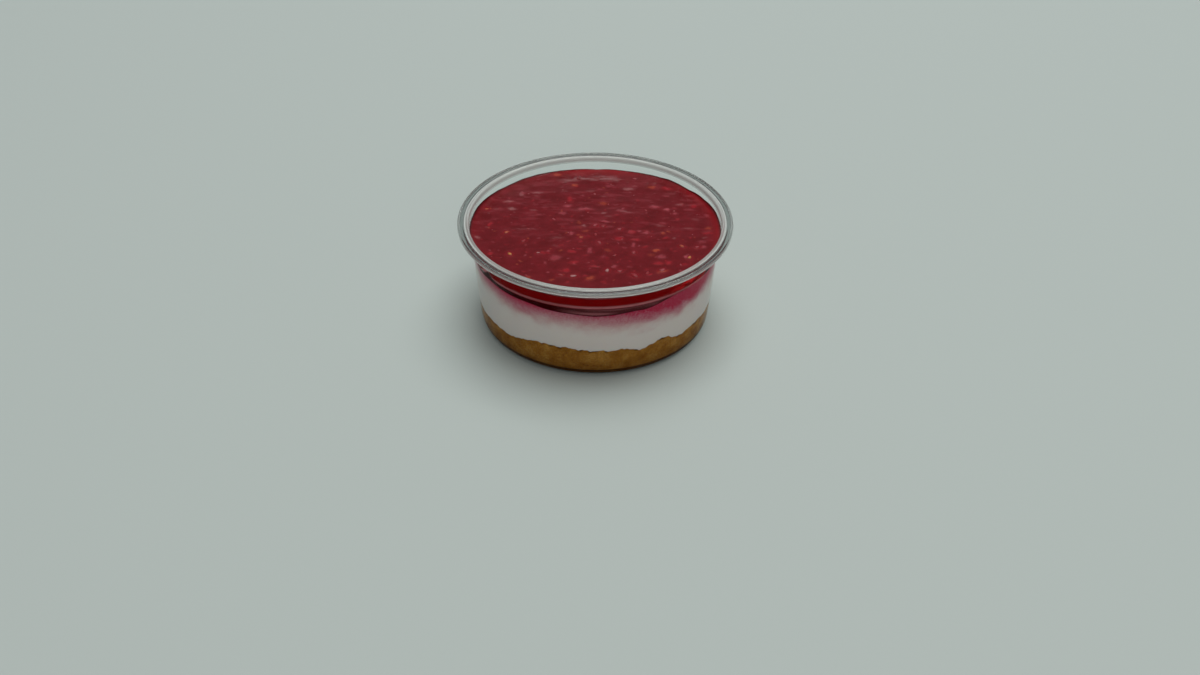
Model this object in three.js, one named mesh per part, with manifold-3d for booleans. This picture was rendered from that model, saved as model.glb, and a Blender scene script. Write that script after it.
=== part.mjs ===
// A single-serve cheesecake in a clear moulded cup, in millimetres, +Z up.
// The cup stands on its foot ring at z = 0 with its axis on Z. The front is -Y, and azimuths
// count from the front towards +X. From the floor up the cup holds a pressed biscuit base, a
// cream cheese filling and a berry topping with seeds, and the headspace above is free.

import * as THREE from 'three';
import { mergeVertices } from 'three/addons/utils/BufferGeometryUtils.js';
import Module from 'manifold-3d';

const wasm = await Module();
wasm.setup();

// Driving dimensions of the cup
const CUP_HEIGHT = 41;
const RIM_RADIUS = 50.5;
const RIM_LIP_HEIGHT = 1.7;
const RIM_CORNER = 0.45;
const RIM_BEAD = 1.2;
const RIM_GROOVE = 0.3;
const MOUTH_RADIUS = 46.4;
const WALL = 0.55;
const FOOT_RADIUS = 40;
const FOOT_WIDTH = 2.2;
const FOOT_SLOPE = 1;
const BASE_RECESS = 0.9;
const HEEL_START = 0.35;
const HEEL_BEND = 1.6;
const HEEL_TOP = 5;
const MID_WALL = 17;
const HEEL_RADIUS = 43.15;
const WALL_TOP_RADIUS = 45.15;
const WALL_BULGE = 0.2;
const LEDGE_HEIGHT = 30.8;
const LEDGE_RISE = 2.5;
const BAND_RADIUS = 46.8;
const STEP_HEIGHT = 39;
const STEP_DEPTH = 0.2;

// Stacking lugs, where the narrow wall runs up through the wide band
const LUG_AZIMUTHS = [62, 183, 304];
const LUG_RISE = 2.2;
const LUG_HALF_WIDTH = 5;
const LUG_CLEARANCE = 5;

// Driving dimensions of the contents
const GAP = 0.3;
const SIDE_STEP = 0.2;
const BASE_CORNER = 0.94;
const BASE_CORNER_RISE = 1.6;
const BASE_LEVEL = 11.4;
const BASE_WAVE = 0.9;
const CREAM_LEVEL = 28.9;
const CREAM_WAVE = 0.5;
const EDGE_EASE = 4;
const TOPPING_LEVEL = 36;
const SURFACE_WAVE = 0.12;
const MENISCUS_RISE = 0.35;
const MENISCUS_WIDTH = 2.4;

// Heights where one layer meets the next at the wall: azimuth in degrees, height in millimetres
const CRUMB_LINE = [
  [-150, 12.1], [-115, 11.0], [-71, 10.2], [-45, 10.1], [-25, 12.8], [-5, 12.2], [14, 12.0],
  [23, 10.6], [33.5, 12.9], [45, 10.3], [60, 11.2], [90, 10.6], [120, 12.2], [165, 10.8],
];
const CREAM_LINE = [
  [-130, 29.6], [-80, 29.4], [-35, 28.8], [-15, 28.2], [2, 27.8], [21, 28.5], [42, 30.6],
  [70, 30.4], [115, 28.6], [170, 29.8],
];

// Seeds and bits of pulp that stand out of the topping: the ones that catch the eye by place and
// turn, as [x, y, share of the usual size, degrees], then more of them by the golden angle
const KEY_SEEDS = [
  [-30.5, -17.5, 1.2, -50], [-5, -5.5, 1, 20], [-32.5, -2.5, 1.1, 35], [-26, -8.5, 1, 60],
  [-41, 14, 1, 10], [-20.5, -16.5, 0.7, 0], [-7.5, -31.5, 1.2, 5], [-12, -31, 1, -20],
  [4.5, -27.5, 1.1, 80], [9, -28, 1, 15], [14, -30.5, 1.6, -45], [1.5, -9, 1, -60],
  [0, 3, 0.9, 40], [3, 2.5, 1, 50], [9, 0.5, 1, 25], [31.5, -11, 1.1, -50],
  [34, -18.5, 1, 80], [37, -11.5, 0.8, 10], [24, -27, 1.2, 20], [14, -15.5, 1, 70],
];
const SEED_SPACING = 5;
const SPIRAL_SEEDS = 46;
const SEED_HALF_LENGTH = 1.15;
const SEED_HALF_WIDTH = 0.75;
const SEED_HALF_DEPTH = 0.5;
const SEED_SIZE_SPREAD = 0.3;
const SEED_FIELD_RADIUS = 42.5;
const SEED_STANDING = 0.12;
const SEED_NUDGE = 8;
const GOLDEN_ANGLE = 137.508;

// Facets
const SEGMENTS = 72;
const LAYER_RINGS = 5;
const SURFACE_RINGS = 8;
const RANDOM_SEED = 5197;

const degrees = THREE.MathUtils.degToRad;

/** Outer radius of the tapered wall, from the heel up to the ledge. */
function wallRadius(z) {
  const t = (z - HEEL_TOP) / (LEDGE_HEIGHT - HEEL_TOP);
  const bulge = 4 * WALL_BULGE * t * (1 - t);
  return HEEL_RADIUS + (WALL_TOP_RADIUS - HEEL_RADIUS) * t + bulge;
}

/** Outer radius of the quarter-oval heel that joins the foot ring to the wall. */
function heelRadius(z) {
  const t = 1 - z / HEEL_TOP;
  return FOOT_RADIUS + (HEEL_RADIUS - FOOT_RADIUS) * Math.sqrt(Math.max(0, 1 - t * t));
}

/** Share of the lug's rise at an azimuth: 1 on a lug's crest, falling to 0 past its sides. */
function lugShare(azimuth, clearance = 0) {
  const away = Math.min(...LUG_AZIMUTHS.map((lug) => Math.abs(azimuth - lug)));
  return THREE.MathUtils.clamp((LUG_HALF_WIDTH + clearance - away) / LUG_HALF_WIDTH, 0, 1);
}

/** Height where what fills the cup meets the ledge's lower edge, which the lugs raise. */
function ledgeUnderFood(azimuth) {
  return LEDGE_HEIGHT + LUG_RISE * lugShare(azimuth, LUG_CLEARANCE);
}

/** Largest radius at a height for what fills the cup, with the gap kept to the wall. */
function fillRadius(z, azimuth) {
  if (z < HEEL_TOP) {
    return heelRadius(Math.max(0, z - WALL)) - WALL - GAP;
  }
  const ledge = ledgeUnderFood(azimuth);
  if (z < ledge) {
    return wallRadius(Math.min(z, LEDGE_HEIGHT)) - WALL - GAP;
  }
  const climb = THREE.MathUtils.clamp((z - ledge - GAP) / LEDGE_RISE, 0, 1);
  return WALL_TOP_RADIUS + (BAND_RADIUS - WALL_TOP_RADIUS) * climb - WALL - GAP;
}

/** Height read off a closed line of [azimuth, height] points, eased between neighbours. */
function lineHeight(line, azimuth) {
  const turn = THREE.MathUtils.euclideanModulo(azimuth - line[0][0], 360) + line[0][0];
  const next = line.findIndex(([a]) => a > turn);
  const after = next < 0 ? [line[0][0] + 360, line[0][1]] : line[next];
  const before = next < 0 ? line[line.length - 1] : line[next - 1];
  const t = (turn - before[0]) / (after[0] - before[0]);
  return THREE.MathUtils.lerp(before[1], after[1], t * t * (3 - 2 * t));
}

/** Slow uneven waves over a spread layer, between -1 and 1. */
function unevenness(x, y) {
  const long = Math.sin(0.16 * x + 0.9) * Math.cos(0.13 * y - 0.4);
  const cross = Math.sin(0.11 * x - 0.19 * y + 2.1);
  const short = Math.sin(0.37 * x + 0.21 * y) * Math.cos(0.33 * y - 0.25 * x + 1.2);
  return 0.4 * long + 0.3 * cross + 0.3 * short;
}

/** A repeatable random number from 0 to 1, one stream for each start value. */
function randomStream(start) {
  let state = start;
  return () => {
    state = (state + 0x6d2b79f5) | 0;
    let t = Math.imul(state ^ (state >>> 15), 1 | state);
    t = (t + Math.imul(t ^ (t >>> 7), 61 | t)) ^ t;
    return ((t ^ (t >>> 14)) >>> 0) / 4294967296;
  };
}

/**
 * Turns a profile about Z, then moves each point by place(point, azimuth).
 * A profile point holds r and z, and whatever else place reads.
 */
function turnedSolid(profile, segments, place) {
  const outline = profile.map((p) => new THREE.Vector2(p.r, p.z));
  const geometry = new THREE.LatheGeometry(outline, segments);
  const position = geometry.getAttribute('position');
  for (let i = 0; i <= segments; i += 1) {
    const azimuth = ((i % segments) * 360) / segments;
    for (let j = 0; j < profile.length; j += 1) {
      const { r, z } = place(profile[j], azimuth);
      const x = r * Math.sin(degrees(azimuth));
      const y = -r * Math.cos(degrees(azimuth));
      position.setXYZ(i * profile.length + j, x, y, z);
    }
  }
  return joinedVertices(geometry);
}

/** The same mesh with shared vertices and no triangle that has shrunk to a line. */
function joinedVertices(geometry) {
  geometry.deleteAttribute('normal');
  geometry.deleteAttribute('uv');
  const merged = mergeVertices(geometry, 1e-4);
  const corners = merged.getIndex().array;
  const kept = [];
  for (let i = 0; i < corners.length; i += 3) {
    const [a, b, c] = corners.slice(i, i + 3);
    if (a !== b && b !== c && c !== a) {
      kept.push(a, b, c);
    }
  }
  merged.setIndex(kept);
  return merged;
}

function toSolid(geometry) {
  const vertProperties = new Float32Array(geometry.getAttribute('position').array);
  const triVerts = new Uint32Array(geometry.getIndex().array);
  return new wasm.Manifold(new wasm.Mesh({ numProp: 3, vertProperties, triVerts }));
}

function toGeometry(solid) {
  const { vertProperties, triVerts } = solid.getMesh();
  const geometry = new THREE.BufferGeometry();
  geometry.setAttribute('position', new THREE.BufferAttribute(vertProperties, 3));
  geometry.setIndex(new THREE.BufferAttribute(triVerts, 1));
  geometry.computeVertexNormals();
  return geometry;
}

/** The cup's section: out along the base, up the outside, over the rim and down the inside. */
function cupProfile() {
  const footInner = FOOT_RADIUS - FOOT_WIDTH;
  const ledgeTop = LEDGE_HEIGHT + LEDGE_RISE;
  const lipBottom = CUP_HEIGHT - RIM_LIP_HEIGHT;
  const inner = (r, z, lug) => ({ r: r - WALL, z, lug });
  return [
    { r: 0, z: BASE_RECESS },
    { r: footInner - FOOT_SLOPE, z: BASE_RECESS },
    { r: footInner, z: 0 },
    { r: FOOT_RADIUS, z: 0 },
    { r: heelRadius(HEEL_START), z: HEEL_START },
    { r: heelRadius(HEEL_BEND), z: HEEL_BEND },
    { r: HEEL_RADIUS, z: HEEL_TOP },
    { r: wallRadius(MID_WALL), z: MID_WALL },
    { r: WALL_TOP_RADIUS, z: LEDGE_HEIGHT, lug: true },
    { r: BAND_RADIUS, z: ledgeTop, lug: true },
    { r: BAND_RADIUS, z: STEP_HEIGHT - STEP_DEPTH },
    { r: MOUTH_RADIUS + WALL, z: CUP_HEIGHT - RIM_BEAD },
    { r: MOUTH_RADIUS + RIM_BEAD / 2 + RIM_CORNER, z: CUP_HEIGHT - WALL },
    { r: MOUTH_RADIUS + 2 * RIM_BEAD - RIM_CORNER, z: CUP_HEIGHT - RIM_GROOVE - WALL },
    { r: RIM_RADIUS - RIM_BEAD, z: CUP_HEIGHT - WALL },
    { r: RIM_RADIUS - WALL, z: CUP_HEIGHT - 2 * RIM_CORNER },
    { r: RIM_RADIUS - WALL, z: lipBottom },
    { r: RIM_RADIUS, z: lipBottom },
    { r: RIM_RADIUS, z: CUP_HEIGHT - RIM_CORNER },
    { r: RIM_RADIUS - RIM_CORNER, z: CUP_HEIGHT },
    { r: RIM_RADIUS - RIM_BEAD, z: CUP_HEIGHT },
    { r: MOUTH_RADIUS + 2 * RIM_BEAD, z: CUP_HEIGHT - RIM_GROOVE },
    { r: MOUTH_RADIUS + RIM_BEAD + RIM_GROOVE, z: CUP_HEIGHT - RIM_GROOVE },
    { r: MOUTH_RADIUS + RIM_BEAD / 2, z: CUP_HEIGHT },
    { r: MOUTH_RADIUS, z: CUP_HEIGHT - RIM_CORNER },
    { r: MOUTH_RADIUS, z: STEP_HEIGHT + STEP_DEPTH },
    { r: MOUTH_RADIUS - STEP_DEPTH, z: STEP_HEIGHT },
    inner(BAND_RADIUS, ledgeTop + WALL / 3, true),
    inner(WALL_TOP_RADIUS, LEDGE_HEIGHT + WALL / 3, true),
    inner(wallRadius(MID_WALL), MID_WALL),
    inner(HEEL_RADIUS, HEEL_TOP),
    inner(heelRadius(HEEL_BEND), HEEL_BEND + WALL / 2),
    inner(heelRadius(HEEL_START), HEEL_START + WALL),
    inner(FOOT_RADIUS, WALL),
    { r: footInner, z: WALL },
    { r: footInner - FOOT_SLOPE, z: BASE_RECESS + WALL },
    { r: 0, z: BASE_RECESS + WALL },
  ];
}

function cup() {
  return turnedSolid(cupProfile(), SEGMENTS, (p, azimuth) => {
    const rise = p.lug ? LUG_RISE * lugShare(azimuth) : 0;
    return { r: p.r, z: p.z + rise };
  });
}

/** Height of the biscuit base's upper face. */
function crumbTop(r, azimuth) {
  const x = r * Math.sin(degrees(azimuth));
  const y = -r * Math.cos(degrees(azimuth));
  const edge = Math.min(1, r / HEEL_RADIUS) ** EDGE_EASE;
  const middle = BASE_LEVEL + BASE_WAVE * unevenness(1.4 * x, 1.4 * y);
  return THREE.MathUtils.lerp(middle, lineHeight(CRUMB_LINE, azimuth), edge);
}

/** Height of the cream filling's upper face. */
function creamTop(r, azimuth) {
  const x = r * Math.sin(degrees(azimuth));
  const y = -r * Math.cos(degrees(azimuth));
  const edge = Math.min(1, r / WALL_TOP_RADIUS) ** EDGE_EASE;
  const middle = CREAM_LEVEL + CREAM_WAVE * unevenness(x, y);
  return THREE.MathUtils.lerp(middle, lineHeight(CREAM_LINE, azimuth), edge);
}

/** Height of the topping's free surface, which climbs a little at the wall. */
function toppingTop(r, azimuth) {
  const x = r * Math.sin(degrees(azimuth));
  const y = -r * Math.cos(degrees(azimuth));
  const fromWall = MOUTH_RADIUS - STEP_DEPTH - GAP - r;
  const climb = MENISCUS_RISE * Math.exp(-fromWall / MENISCUS_WIDTH);
  return TOPPING_LEVEL - MENISCUS_RISE + climb + SURFACE_WAVE * unevenness(x, y);
}

/** Shares of a radius from the middle out to 1, closer together near the edge. */
function ringShares(count) {
  return Array.from({ length: count + 1 }, (_, i) => Math.sin((i / count) * (Math.PI / 2)));
}

/**
 * One layer of the contents. Each face has a height function and the shares of the radius where
 * its rings lie. The side's heights come from sides(low, high, azimuth), from the bottom up.
 */
function layer(under, upper, sides) {
  const ringsOf = (face) => face.shares.map((share) => ({ r: share, z: 0, face, share }));
  const steps = sides(0, 1, 0).map((z, step) => ({ r: 1, z, step }));
  const profile = [...ringsOf(under), ...steps, ...ringsOf(upper).toReversed()];
  const edgeHeight = (face, azimuth) => face.height(WALL_TOP_RADIUS - WALL, azimuth);
  return turnedSolid(profile, SEGMENTS, ({ face, share, step }, azimuth) => {
    if (face === undefined) {
      const heights = sides(edgeHeight(under, azimuth), edgeHeight(upper, azimuth), azimuth);
      return { r: fillRadius(heights[step], azimuth), z: heights[step] };
    }
    const edge = edgeHeight(face, azimuth);
    const r = fillRadius(edge, azimuth) * share;
    return { r, z: share === 1 ? edge : face.height(r, azimuth) };
  });
}

/** Side heights at fixed shares of the way up a layer. */
function evenSides(...shares) {
  return (low, high) => shares.map((share) => THREE.MathUtils.lerp(low, high, share));
}

/** Side heights that follow the ledge, kept in order below the upper face. */
function ledgeSides(low, high, azimuth) {
  const ledge = ledgeUnderFood(azimuth);
  const belowLug = Math.min(ledge, high - 2 * SIDE_STEP);
  return [
    THREE.MathUtils.lerp(low, belowLug, 0.5),
    belowLug,
    Math.min(ledge + GAP + LEDGE_RISE, high - SIDE_STEP),
  ];
}

/** The pressed biscuit base: flat on the cup's floor, rounded at the heel, uneven on top. */
function biscuitBase() {
  const floor = BASE_RECESS + WALL + GAP;
  const height = (r) => (r > BASE_CORNER * HEEL_RADIUS ? floor + BASE_CORNER_RISE : floor);
  const under = { height, shares: [0, 0.6, BASE_CORNER - 0.02, 1] };
  return layer(under, { height: crumbTop, shares: ringShares(LAYER_RINGS) }, evenSides(0.3, 0.65));
}

function creamFilling() {
  const height = (r, azimuth) => crumbTop(r, azimuth) + GAP;
  const shares = ringShares(LAYER_RINGS);
  return layer({ height, shares }, { height: creamTop, shares }, evenSides(0.35, 0.7));
}

/** The places of all seeds: the key ones, then a spiral that keeps clear of them. */
function seedPlaces() {
  const random = randomStream(RANDOM_SEED);
  const spread = () => 1 + SEED_SIZE_SPREAD * (2 * random() - 1);
  const spiral = Array.from({ length: SPIRAL_SEEDS }, (_, i) => {
    const r = SEED_FIELD_RADIUS * Math.sqrt((i + random()) / SPIRAL_SEEDS);
    const azimuth = degrees(i * GOLDEN_ANGLE + SEED_NUDGE * random());
    return [r * Math.sin(azimuth), -r * Math.cos(azimuth), spread(), 360 * random()];
  });
  const clear = ([x, y]) => KEY_SEEDS.every(([a, b]) => Math.hypot(x - a, y - b) > SEED_SPACING);
  return [...KEY_SEEDS, ...spiral.filter(clear)];
}

/** One seed, half sunk in the topping where it lies. */
function seed([x, y, size, turn]) {
  const shape = new THREE.SphereGeometry(1, 5, 4);
  shape.scale(size * SEED_HALF_LENGTH, size * SEED_HALF_WIDTH, size * SEED_HALF_DEPTH);
  shape.rotateZ(degrees(turn));
  const azimuth = THREE.MathUtils.radToDeg(Math.atan2(x, -y));
  shape.translate(x, y, toppingTop(Math.hypot(x, y), azimuth) + SEED_STANDING);
  return joinedVertices(shape);
}

function berryTopping() {
  const under = { height: (r, azimuth) => creamTop(r, azimuth) + GAP, shares: ringShares(LAYER_RINGS) };
  const bed = layer(under, { height: toppingTop, shares: ringShares(SURFACE_RINGS) }, ledgeSides);
  const joinSeed = (whole, place) => whole.add(toSolid(seed(place)));
  return toGeometry(seedPlaces().reduce(joinSeed, toSolid(bed)));
}

function piece(name, geometry, color, roughness, extra = {}) {
  const material = new THREE.MeshStandardMaterial({ color, roughness, metalness: 0, ...extra });
  const mesh = new THREE.Mesh(geometry, material);
  mesh.name = name;
  return mesh;
}

const cheesecakeCup = new THREE.Group();
const clear = { transparent: true, opacity: 0.3 };
cheesecakeCup.add(piece('clear_cup', cup(), 0xdfe6e4, 0.06, clear));
cheesecakeCup.add(piece('biscuit_base', biscuitBase(), 0x8a6226, 0.85));
cheesecakeCup.add(piece('cream_filling', creamFilling(), 0xe8e2d6, 0.5));
cheesecakeCup.add(piece('berry_topping', berryTopping(), 0x6e1620, 0.18));

export default cheesecakeCup;
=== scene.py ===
"""Dresses a single-serve cheesecake in its clear moulded cup.

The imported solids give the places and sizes. Each food layer and the cup are replaced by fine
meshes of the same form, in millimetres until a mesh is made, with the cup's axis on Z and the
side that the picture shows at -Y. Azimuths count in degrees from that side towards +X.
"""

import itertools
import logging
import math
from collections.abc import Iterator
from dataclasses import dataclass, field
from enum import Enum, IntEnum

import bpy
import numpy as np
from mathutils import Euler, Matrix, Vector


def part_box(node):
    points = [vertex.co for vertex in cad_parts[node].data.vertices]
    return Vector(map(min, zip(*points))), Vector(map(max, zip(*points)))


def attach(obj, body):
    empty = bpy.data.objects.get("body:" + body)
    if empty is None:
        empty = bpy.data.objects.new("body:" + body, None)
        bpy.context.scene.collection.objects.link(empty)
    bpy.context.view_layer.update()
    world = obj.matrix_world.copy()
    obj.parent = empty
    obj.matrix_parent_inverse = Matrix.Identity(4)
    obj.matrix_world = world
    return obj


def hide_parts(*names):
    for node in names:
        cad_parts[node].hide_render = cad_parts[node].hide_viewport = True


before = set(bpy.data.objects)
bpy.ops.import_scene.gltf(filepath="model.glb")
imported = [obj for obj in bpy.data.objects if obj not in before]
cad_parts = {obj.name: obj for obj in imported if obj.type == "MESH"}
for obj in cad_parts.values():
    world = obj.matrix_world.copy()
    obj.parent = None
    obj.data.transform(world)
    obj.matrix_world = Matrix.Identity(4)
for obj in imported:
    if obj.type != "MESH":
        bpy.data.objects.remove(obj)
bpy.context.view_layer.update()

LOG = logging.getLogger("cheesecake_cup")
METRES = 0.001
IMAGE_WIDTH_PX = 1200
SENSOR_WIDTH_MM = 36.0
WORD = 0xFFFFFFFF
GOLDEN_ANGLE = 137.508


class Node(Enum):
    """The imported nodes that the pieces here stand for."""

    CUP = "clear_cup"
    CRUMB = "biscuit_base"
    CREAM = "cream_filling"
    JELLY = "berry_topping"


class Slot(Enum):
    """The record's material slots."""

    PLASTIC = "clear_plastic"
    CRUMB = "biscuit_crumb"
    CREAM = "cream_cheese"
    JELLY = "berry_jelly"


class SeedTone(Enum):
    """How a seed or bit of pulp looks through its film of jelly, as a place on the colour ramp.
    The pale tone is mostly a painted glint.
    """

    RED = 0.0
    PINK = 0.3
    ORANGE = 0.6
    STRAW = 0.85
    PALE = 1.0


class Pattern(IntEnum):
    """The whole number that picks each uneven pattern, so that no two are alike."""

    CRUMB_LINE = 11
    CREAM_LINE = 23
    PITS = 31
    STAIN_CLOUD = 41
    STAIN_GRAIN = 47
    RIPPLES = 53
    RIDGE = 61
    RIDGE_BREAKS = 67
    CONTACT = 71
    WALL_GRAIN = 73
    WALL_STREAKS = 79
    BIT_SHIFT_X = 91
    BIT_SHIFT_Y = 97
    SEED_LUMPS = 103
    WISPS = 109
    WISP_BEND = 113


class BitTone(Enum):
    """How a bit of pulp just under the face looks. The pale tone is mostly a painted highlight,
    and the pink one also carries painted sheen streaks.
    """

    RED = "bit_red"
    ORANGE = "bit_orange"
    PINK = "bit_pink"
    PALE = "bit_pale"


def linear(hex_colour: str) -> tuple[float, float, float, float]:
    """Turns an sRGB hex colour into linear values.

    Args:
        hex_colour: Six hex digits, such as "A1B2C3".

    Returns:
        Linear red, green and blue with an alpha of 1.
    """
    parts = [int(hex_colour[i : i + 2], 16) / 255 for i in (0, 2, 4)]
    curved = [c / 12.92 if c <= 0.04045 else ((c + 0.055) / 1.055) ** 2.4 for c in parts]
    return (curved[0], curved[1], curved[2], 1.0)


def per_metre(cell_mm: float) -> float:
    """The scale of a pattern whose swells have that size."""
    return 1 / (cell_mm * METRES)


def add_node(
    tree: bpy.types.NodeTree,
    kind: str,
    settings: dict[str | int, object] | None = None,
    links: dict[str | int, bpy.types.NodeSocket] | None = None,
) -> bpy.types.Node:
    """Adds a node with its settings and links.

    Args:
        tree: The node tree.
        kind: The node's type name.
        settings: Values by input name or number, or by the node's own property.
        links: Output sockets to join to the inputs of those names or numbers.

    Returns:
        The new node.
    """
    node = tree.nodes.new(kind)
    for key, value in (settings or {}).items():
        if isinstance(key, int) or key in node.inputs:
            node.inputs[key].default_value = value
        else:
            setattr(node, key, value)
    for key, source in (links or {}).items():
        tree.links.new(source, node.inputs[key])
    return node


def smoothstep(low: float, high: float, value: np.ndarray) -> np.ndarray:
    """Eases from 0 at low to 1 at high."""
    t = np.clip((np.asarray(value, float) - low) / (high - low), 0, 1)
    return t * t * (3 - 2 * t)


def between(rise: float, full: float, fade: float, end: float, value: np.ndarray) -> np.ndarray:
    """Eases from 0 at rise to 1 at full, then from 1 at fade to 0 at end."""
    return smoothstep(rise, full, value) * (1 - smoothstep(fade, end, value))


def value_noise(points: np.ndarray, cell: float, seed: int) -> np.ndarray:
    """Smooth repeatable noise.

    Args:
        points: An array of points, one row each, in millimetres.
        cell: The size of one swell in millimetres.
        seed: A whole number that picks the pattern.

    Returns:
        A value from -1 to 1 for each point.
    """
    scaled = points / cell
    base = np.floor(scaled).astype(np.int64)
    ease = smoothstep(0, 1, scaled - base)
    total = np.zeros(len(points))
    for corner in itertools.product((0, 1), repeat=3):
        x, y, z = (base + corner).T
        mixed = (x * 73856093) ^ (y * 19349663) ^ (z * 83492791) ^ (seed * 40503)
        mixed = ((mixed ^ (mixed >> 13)) * 1274126177) & WORD
        value = ((mixed ^ (mixed >> 15)) & 0xFFFF) / 32767.5 - 1
        total += value * np.prod(np.where(corner, ease, 1 - ease), axis=1)
    return total


def fractal(points: np.ndarray, cell: float, octaves: int, seed: int) -> np.ndarray:
    """Noise with finer swells of half the size and height laid over it.

    Args:
        points: An array of points, one row each, in millimetres.
        cell: The size of the largest swell.
        octaves: How many sizes there are.
        seed: A whole number that picks the pattern.

    Returns:
        A value for each point, mostly between -1 and 1.
    """
    layers = [value_noise(points, cell / 2**i, seed + i) / 2**i for i in range(octaves)]
    return sum(layers) / 1.5


def around(azimuths: np.ndarray, radii: np.ndarray, heights: np.ndarray) -> np.ndarray:
    """Points at those azimuths in degrees, radii and heights, as rows of x, y and z."""
    turn = np.radians(azimuths)
    return np.stack([radii * np.sin(turn), -radii * np.cos(turn), heights + 0 * turn], axis=-1)


def random_stream(start: int) -> Iterator[float]:
    """Repeatable random numbers from 0 to 1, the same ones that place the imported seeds.

    Args:
        start: The whole number that it starts from.

    Returns:
        The numbers, without end.
    """
    state = start
    while True:
        state = (state + 0x6D2B79F5) & WORD
        t = ((state ^ (state >> 15)) * (state | 1)) & WORD
        t = ((t + ((t ^ (t >> 7)) * (t | 61))) & WORD) ^ t
        yield ((t ^ (t >> 14)) & WORD) / (WORD + 1)


def turned_mesh(name: str, points: np.ndarray) -> bpy.types.Object:
    """Makes a closed body from sections that stand round the axis.

    Args:
        name: The piece's name.
        points: One row of points for each azimuth, each row starting and ending on the axis,
            in millimetres.

    Returns:
        The object, shaded smooth.
    """
    segments, steps, _ = points.shape
    middle = steps - 2
    inner = points[:, 1:-1].reshape(-1, 3)
    vertices = np.concatenate([inner, points[:1, 0], points[:1, -1]]) * METRES
    first, last = segments * middle, segments * middle + 1
    here = np.arange(segments)[:, None] * middle + np.arange(middle - 1)
    there = np.roll(here, -1, axis=0)
    quads = np.stack([here, there, there + 1, here + 1], axis=-1).reshape(-1, 4)
    start = np.arange(segments) * middle
    follow = np.roll(start, -1)
    caps = [(first, b, a) for a, b in zip(start, follow)]
    caps += [(last, a + middle - 1, b + middle - 1) for a, b in zip(start, follow)]
    mesh = bpy.data.meshes.new(name)
    mesh.from_pydata(vertices.tolist(), [], quads.tolist() + caps)
    mesh.shade_smooth()
    piece = bpy.data.objects.new(name, mesh)
    bpy.context.scene.collection.objects.link(piece)
    return piece


def mark(piece: bpy.types.Object, name: str, values: np.ndarray) -> None:
    """Stores a value for each vertex, which a finish reads by that name."""
    attribute = piece.data.attributes.new(name, "FLOAT", "POINT")
    attribute.data.foreach_set("value", np.asarray(values, np.float32))


def mark_turned(piece: bpy.types.Object, name: str, values: np.ndarray) -> None:
    """Stores values given for a turned mesh's rows and steps."""
    mark(piece, name, np.concatenate([values[:, 1:-1].ravel(), values[:1, 0], values[:1, -1]]))


def share_finishes(piece: bpy.types.Object, places: np.ndarray) -> None:
    """Gives each face the first of its finishes that any of its corners asks for.

    Args:
        piece: The piece, which has two finishes or more.
        places: The place in the piece's list of finishes for each vertex.
    """
    mesh = piece.data
    corners = np.empty(len(mesh.loops), np.int32)
    starts = np.empty(len(mesh.polygons), np.int32)
    mesh.loops.foreach_get("vertex_index", corners)
    mesh.polygons.foreach_get("loop_start", starts)
    first = np.minimum.reduceat(places[corners].astype(np.int32), starts)
    mesh.polygons.foreach_set("material_index", first)


def settle(piece: bpy.types.Object, node: Node | None) -> bpy.types.Object:
    """Hands a piece to the frame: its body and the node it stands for.

    Args:
        piece: The piece.
        node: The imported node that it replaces, or None.

    Returns:
        The same piece.
    """
    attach(piece, "root")
    if node is not None:
        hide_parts(node.value)
    return piece


@dataclass(frozen=True)
class Material:
    """A finish: one material, made from nodes by its own draw method."""

    name: str

    def make(self) -> bpy.types.Material:
        """Builds the material and returns it.

        Returns:
            The new material.
        """
        material = bpy.data.materials.new(self.name)
        material.use_nodes = True
        tree = material.node_tree
        tree.nodes.clear()
        shader = self.draw(tree)
        add_node(tree, "ShaderNodeOutputMaterial", links={"Surface": shader})
        return material

    def draw(self, tree: bpy.types.NodeTree) -> bpy.types.NodeSocket:
        """Adds the finish's nodes and returns the shader's output."""
        raise NotImplementedError

    @staticmethod
    def varied(
        tree: bpy.types.NodeTree,
        swells: dict[str, float],
        bounds: tuple[float, float] = (0.0, 1.0),
        between_swells: tuple[float, float] = (0.3, 0.7),
    ) -> tuple[bpy.types.NodeSocket, bpy.types.NodeSocket]:
        """Makes a value that varies over the surface between two bounds.

        Args:
            tree: The material's nodes.
            swells: The scale, detail and other settings of the noise under it.
            bounds: The least and the greatest value.
            between_swells: The depths of noise at which it reaches them.

        Returns:
            The plain noise and the value.
        """
        at = {"Vector": add_node(tree, "ShaderNodeTexCoord").outputs["Object"]}
        noise = add_node(tree, "ShaderNodeTexNoise", swells, at).outputs["Fac"]
        names = ("From Min", "From Max", "To Min", "To Max")
        settings = dict(zip(names, (*between_swells, *bounds)))
        value = add_node(tree, "ShaderNodeMapRange", settings, {"Value": noise})
        return noise, value.outputs["Result"]

    def marked(
        self,
        tree: bpy.types.NodeTree,
        colour: bpy.types.NodeSocket,
        marks: dict[str, str],
    ) -> bpy.types.NodeSocket:
        """Lays colours over a ground, each as strongly as a value stored on the mesh says.

        Args:
            tree: The material's nodes.
            colour: The ground's colour.
            marks: An sRGB hex colour by the name of its stored value, the undermost first.

        Returns:
            The mixed colour.
        """
        for name, hex_colour in marks.items():
            amount = add_node(tree, "ShaderNodeAttribute", {"attribute_name": name})
            settings = {"data_type": "RGBA", 7: linear(hex_colour)}
            links = {0: amount.outputs["Fac"], 6: colour}
            colour = add_node(tree, "ShaderNodeMix", settings, links).outputs[2]
        return colour

    def dress(self, piece: bpy.types.Object) -> None:
        """Puts the finish on a piece."""
        piece.data.materials.append(self.make())


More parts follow.
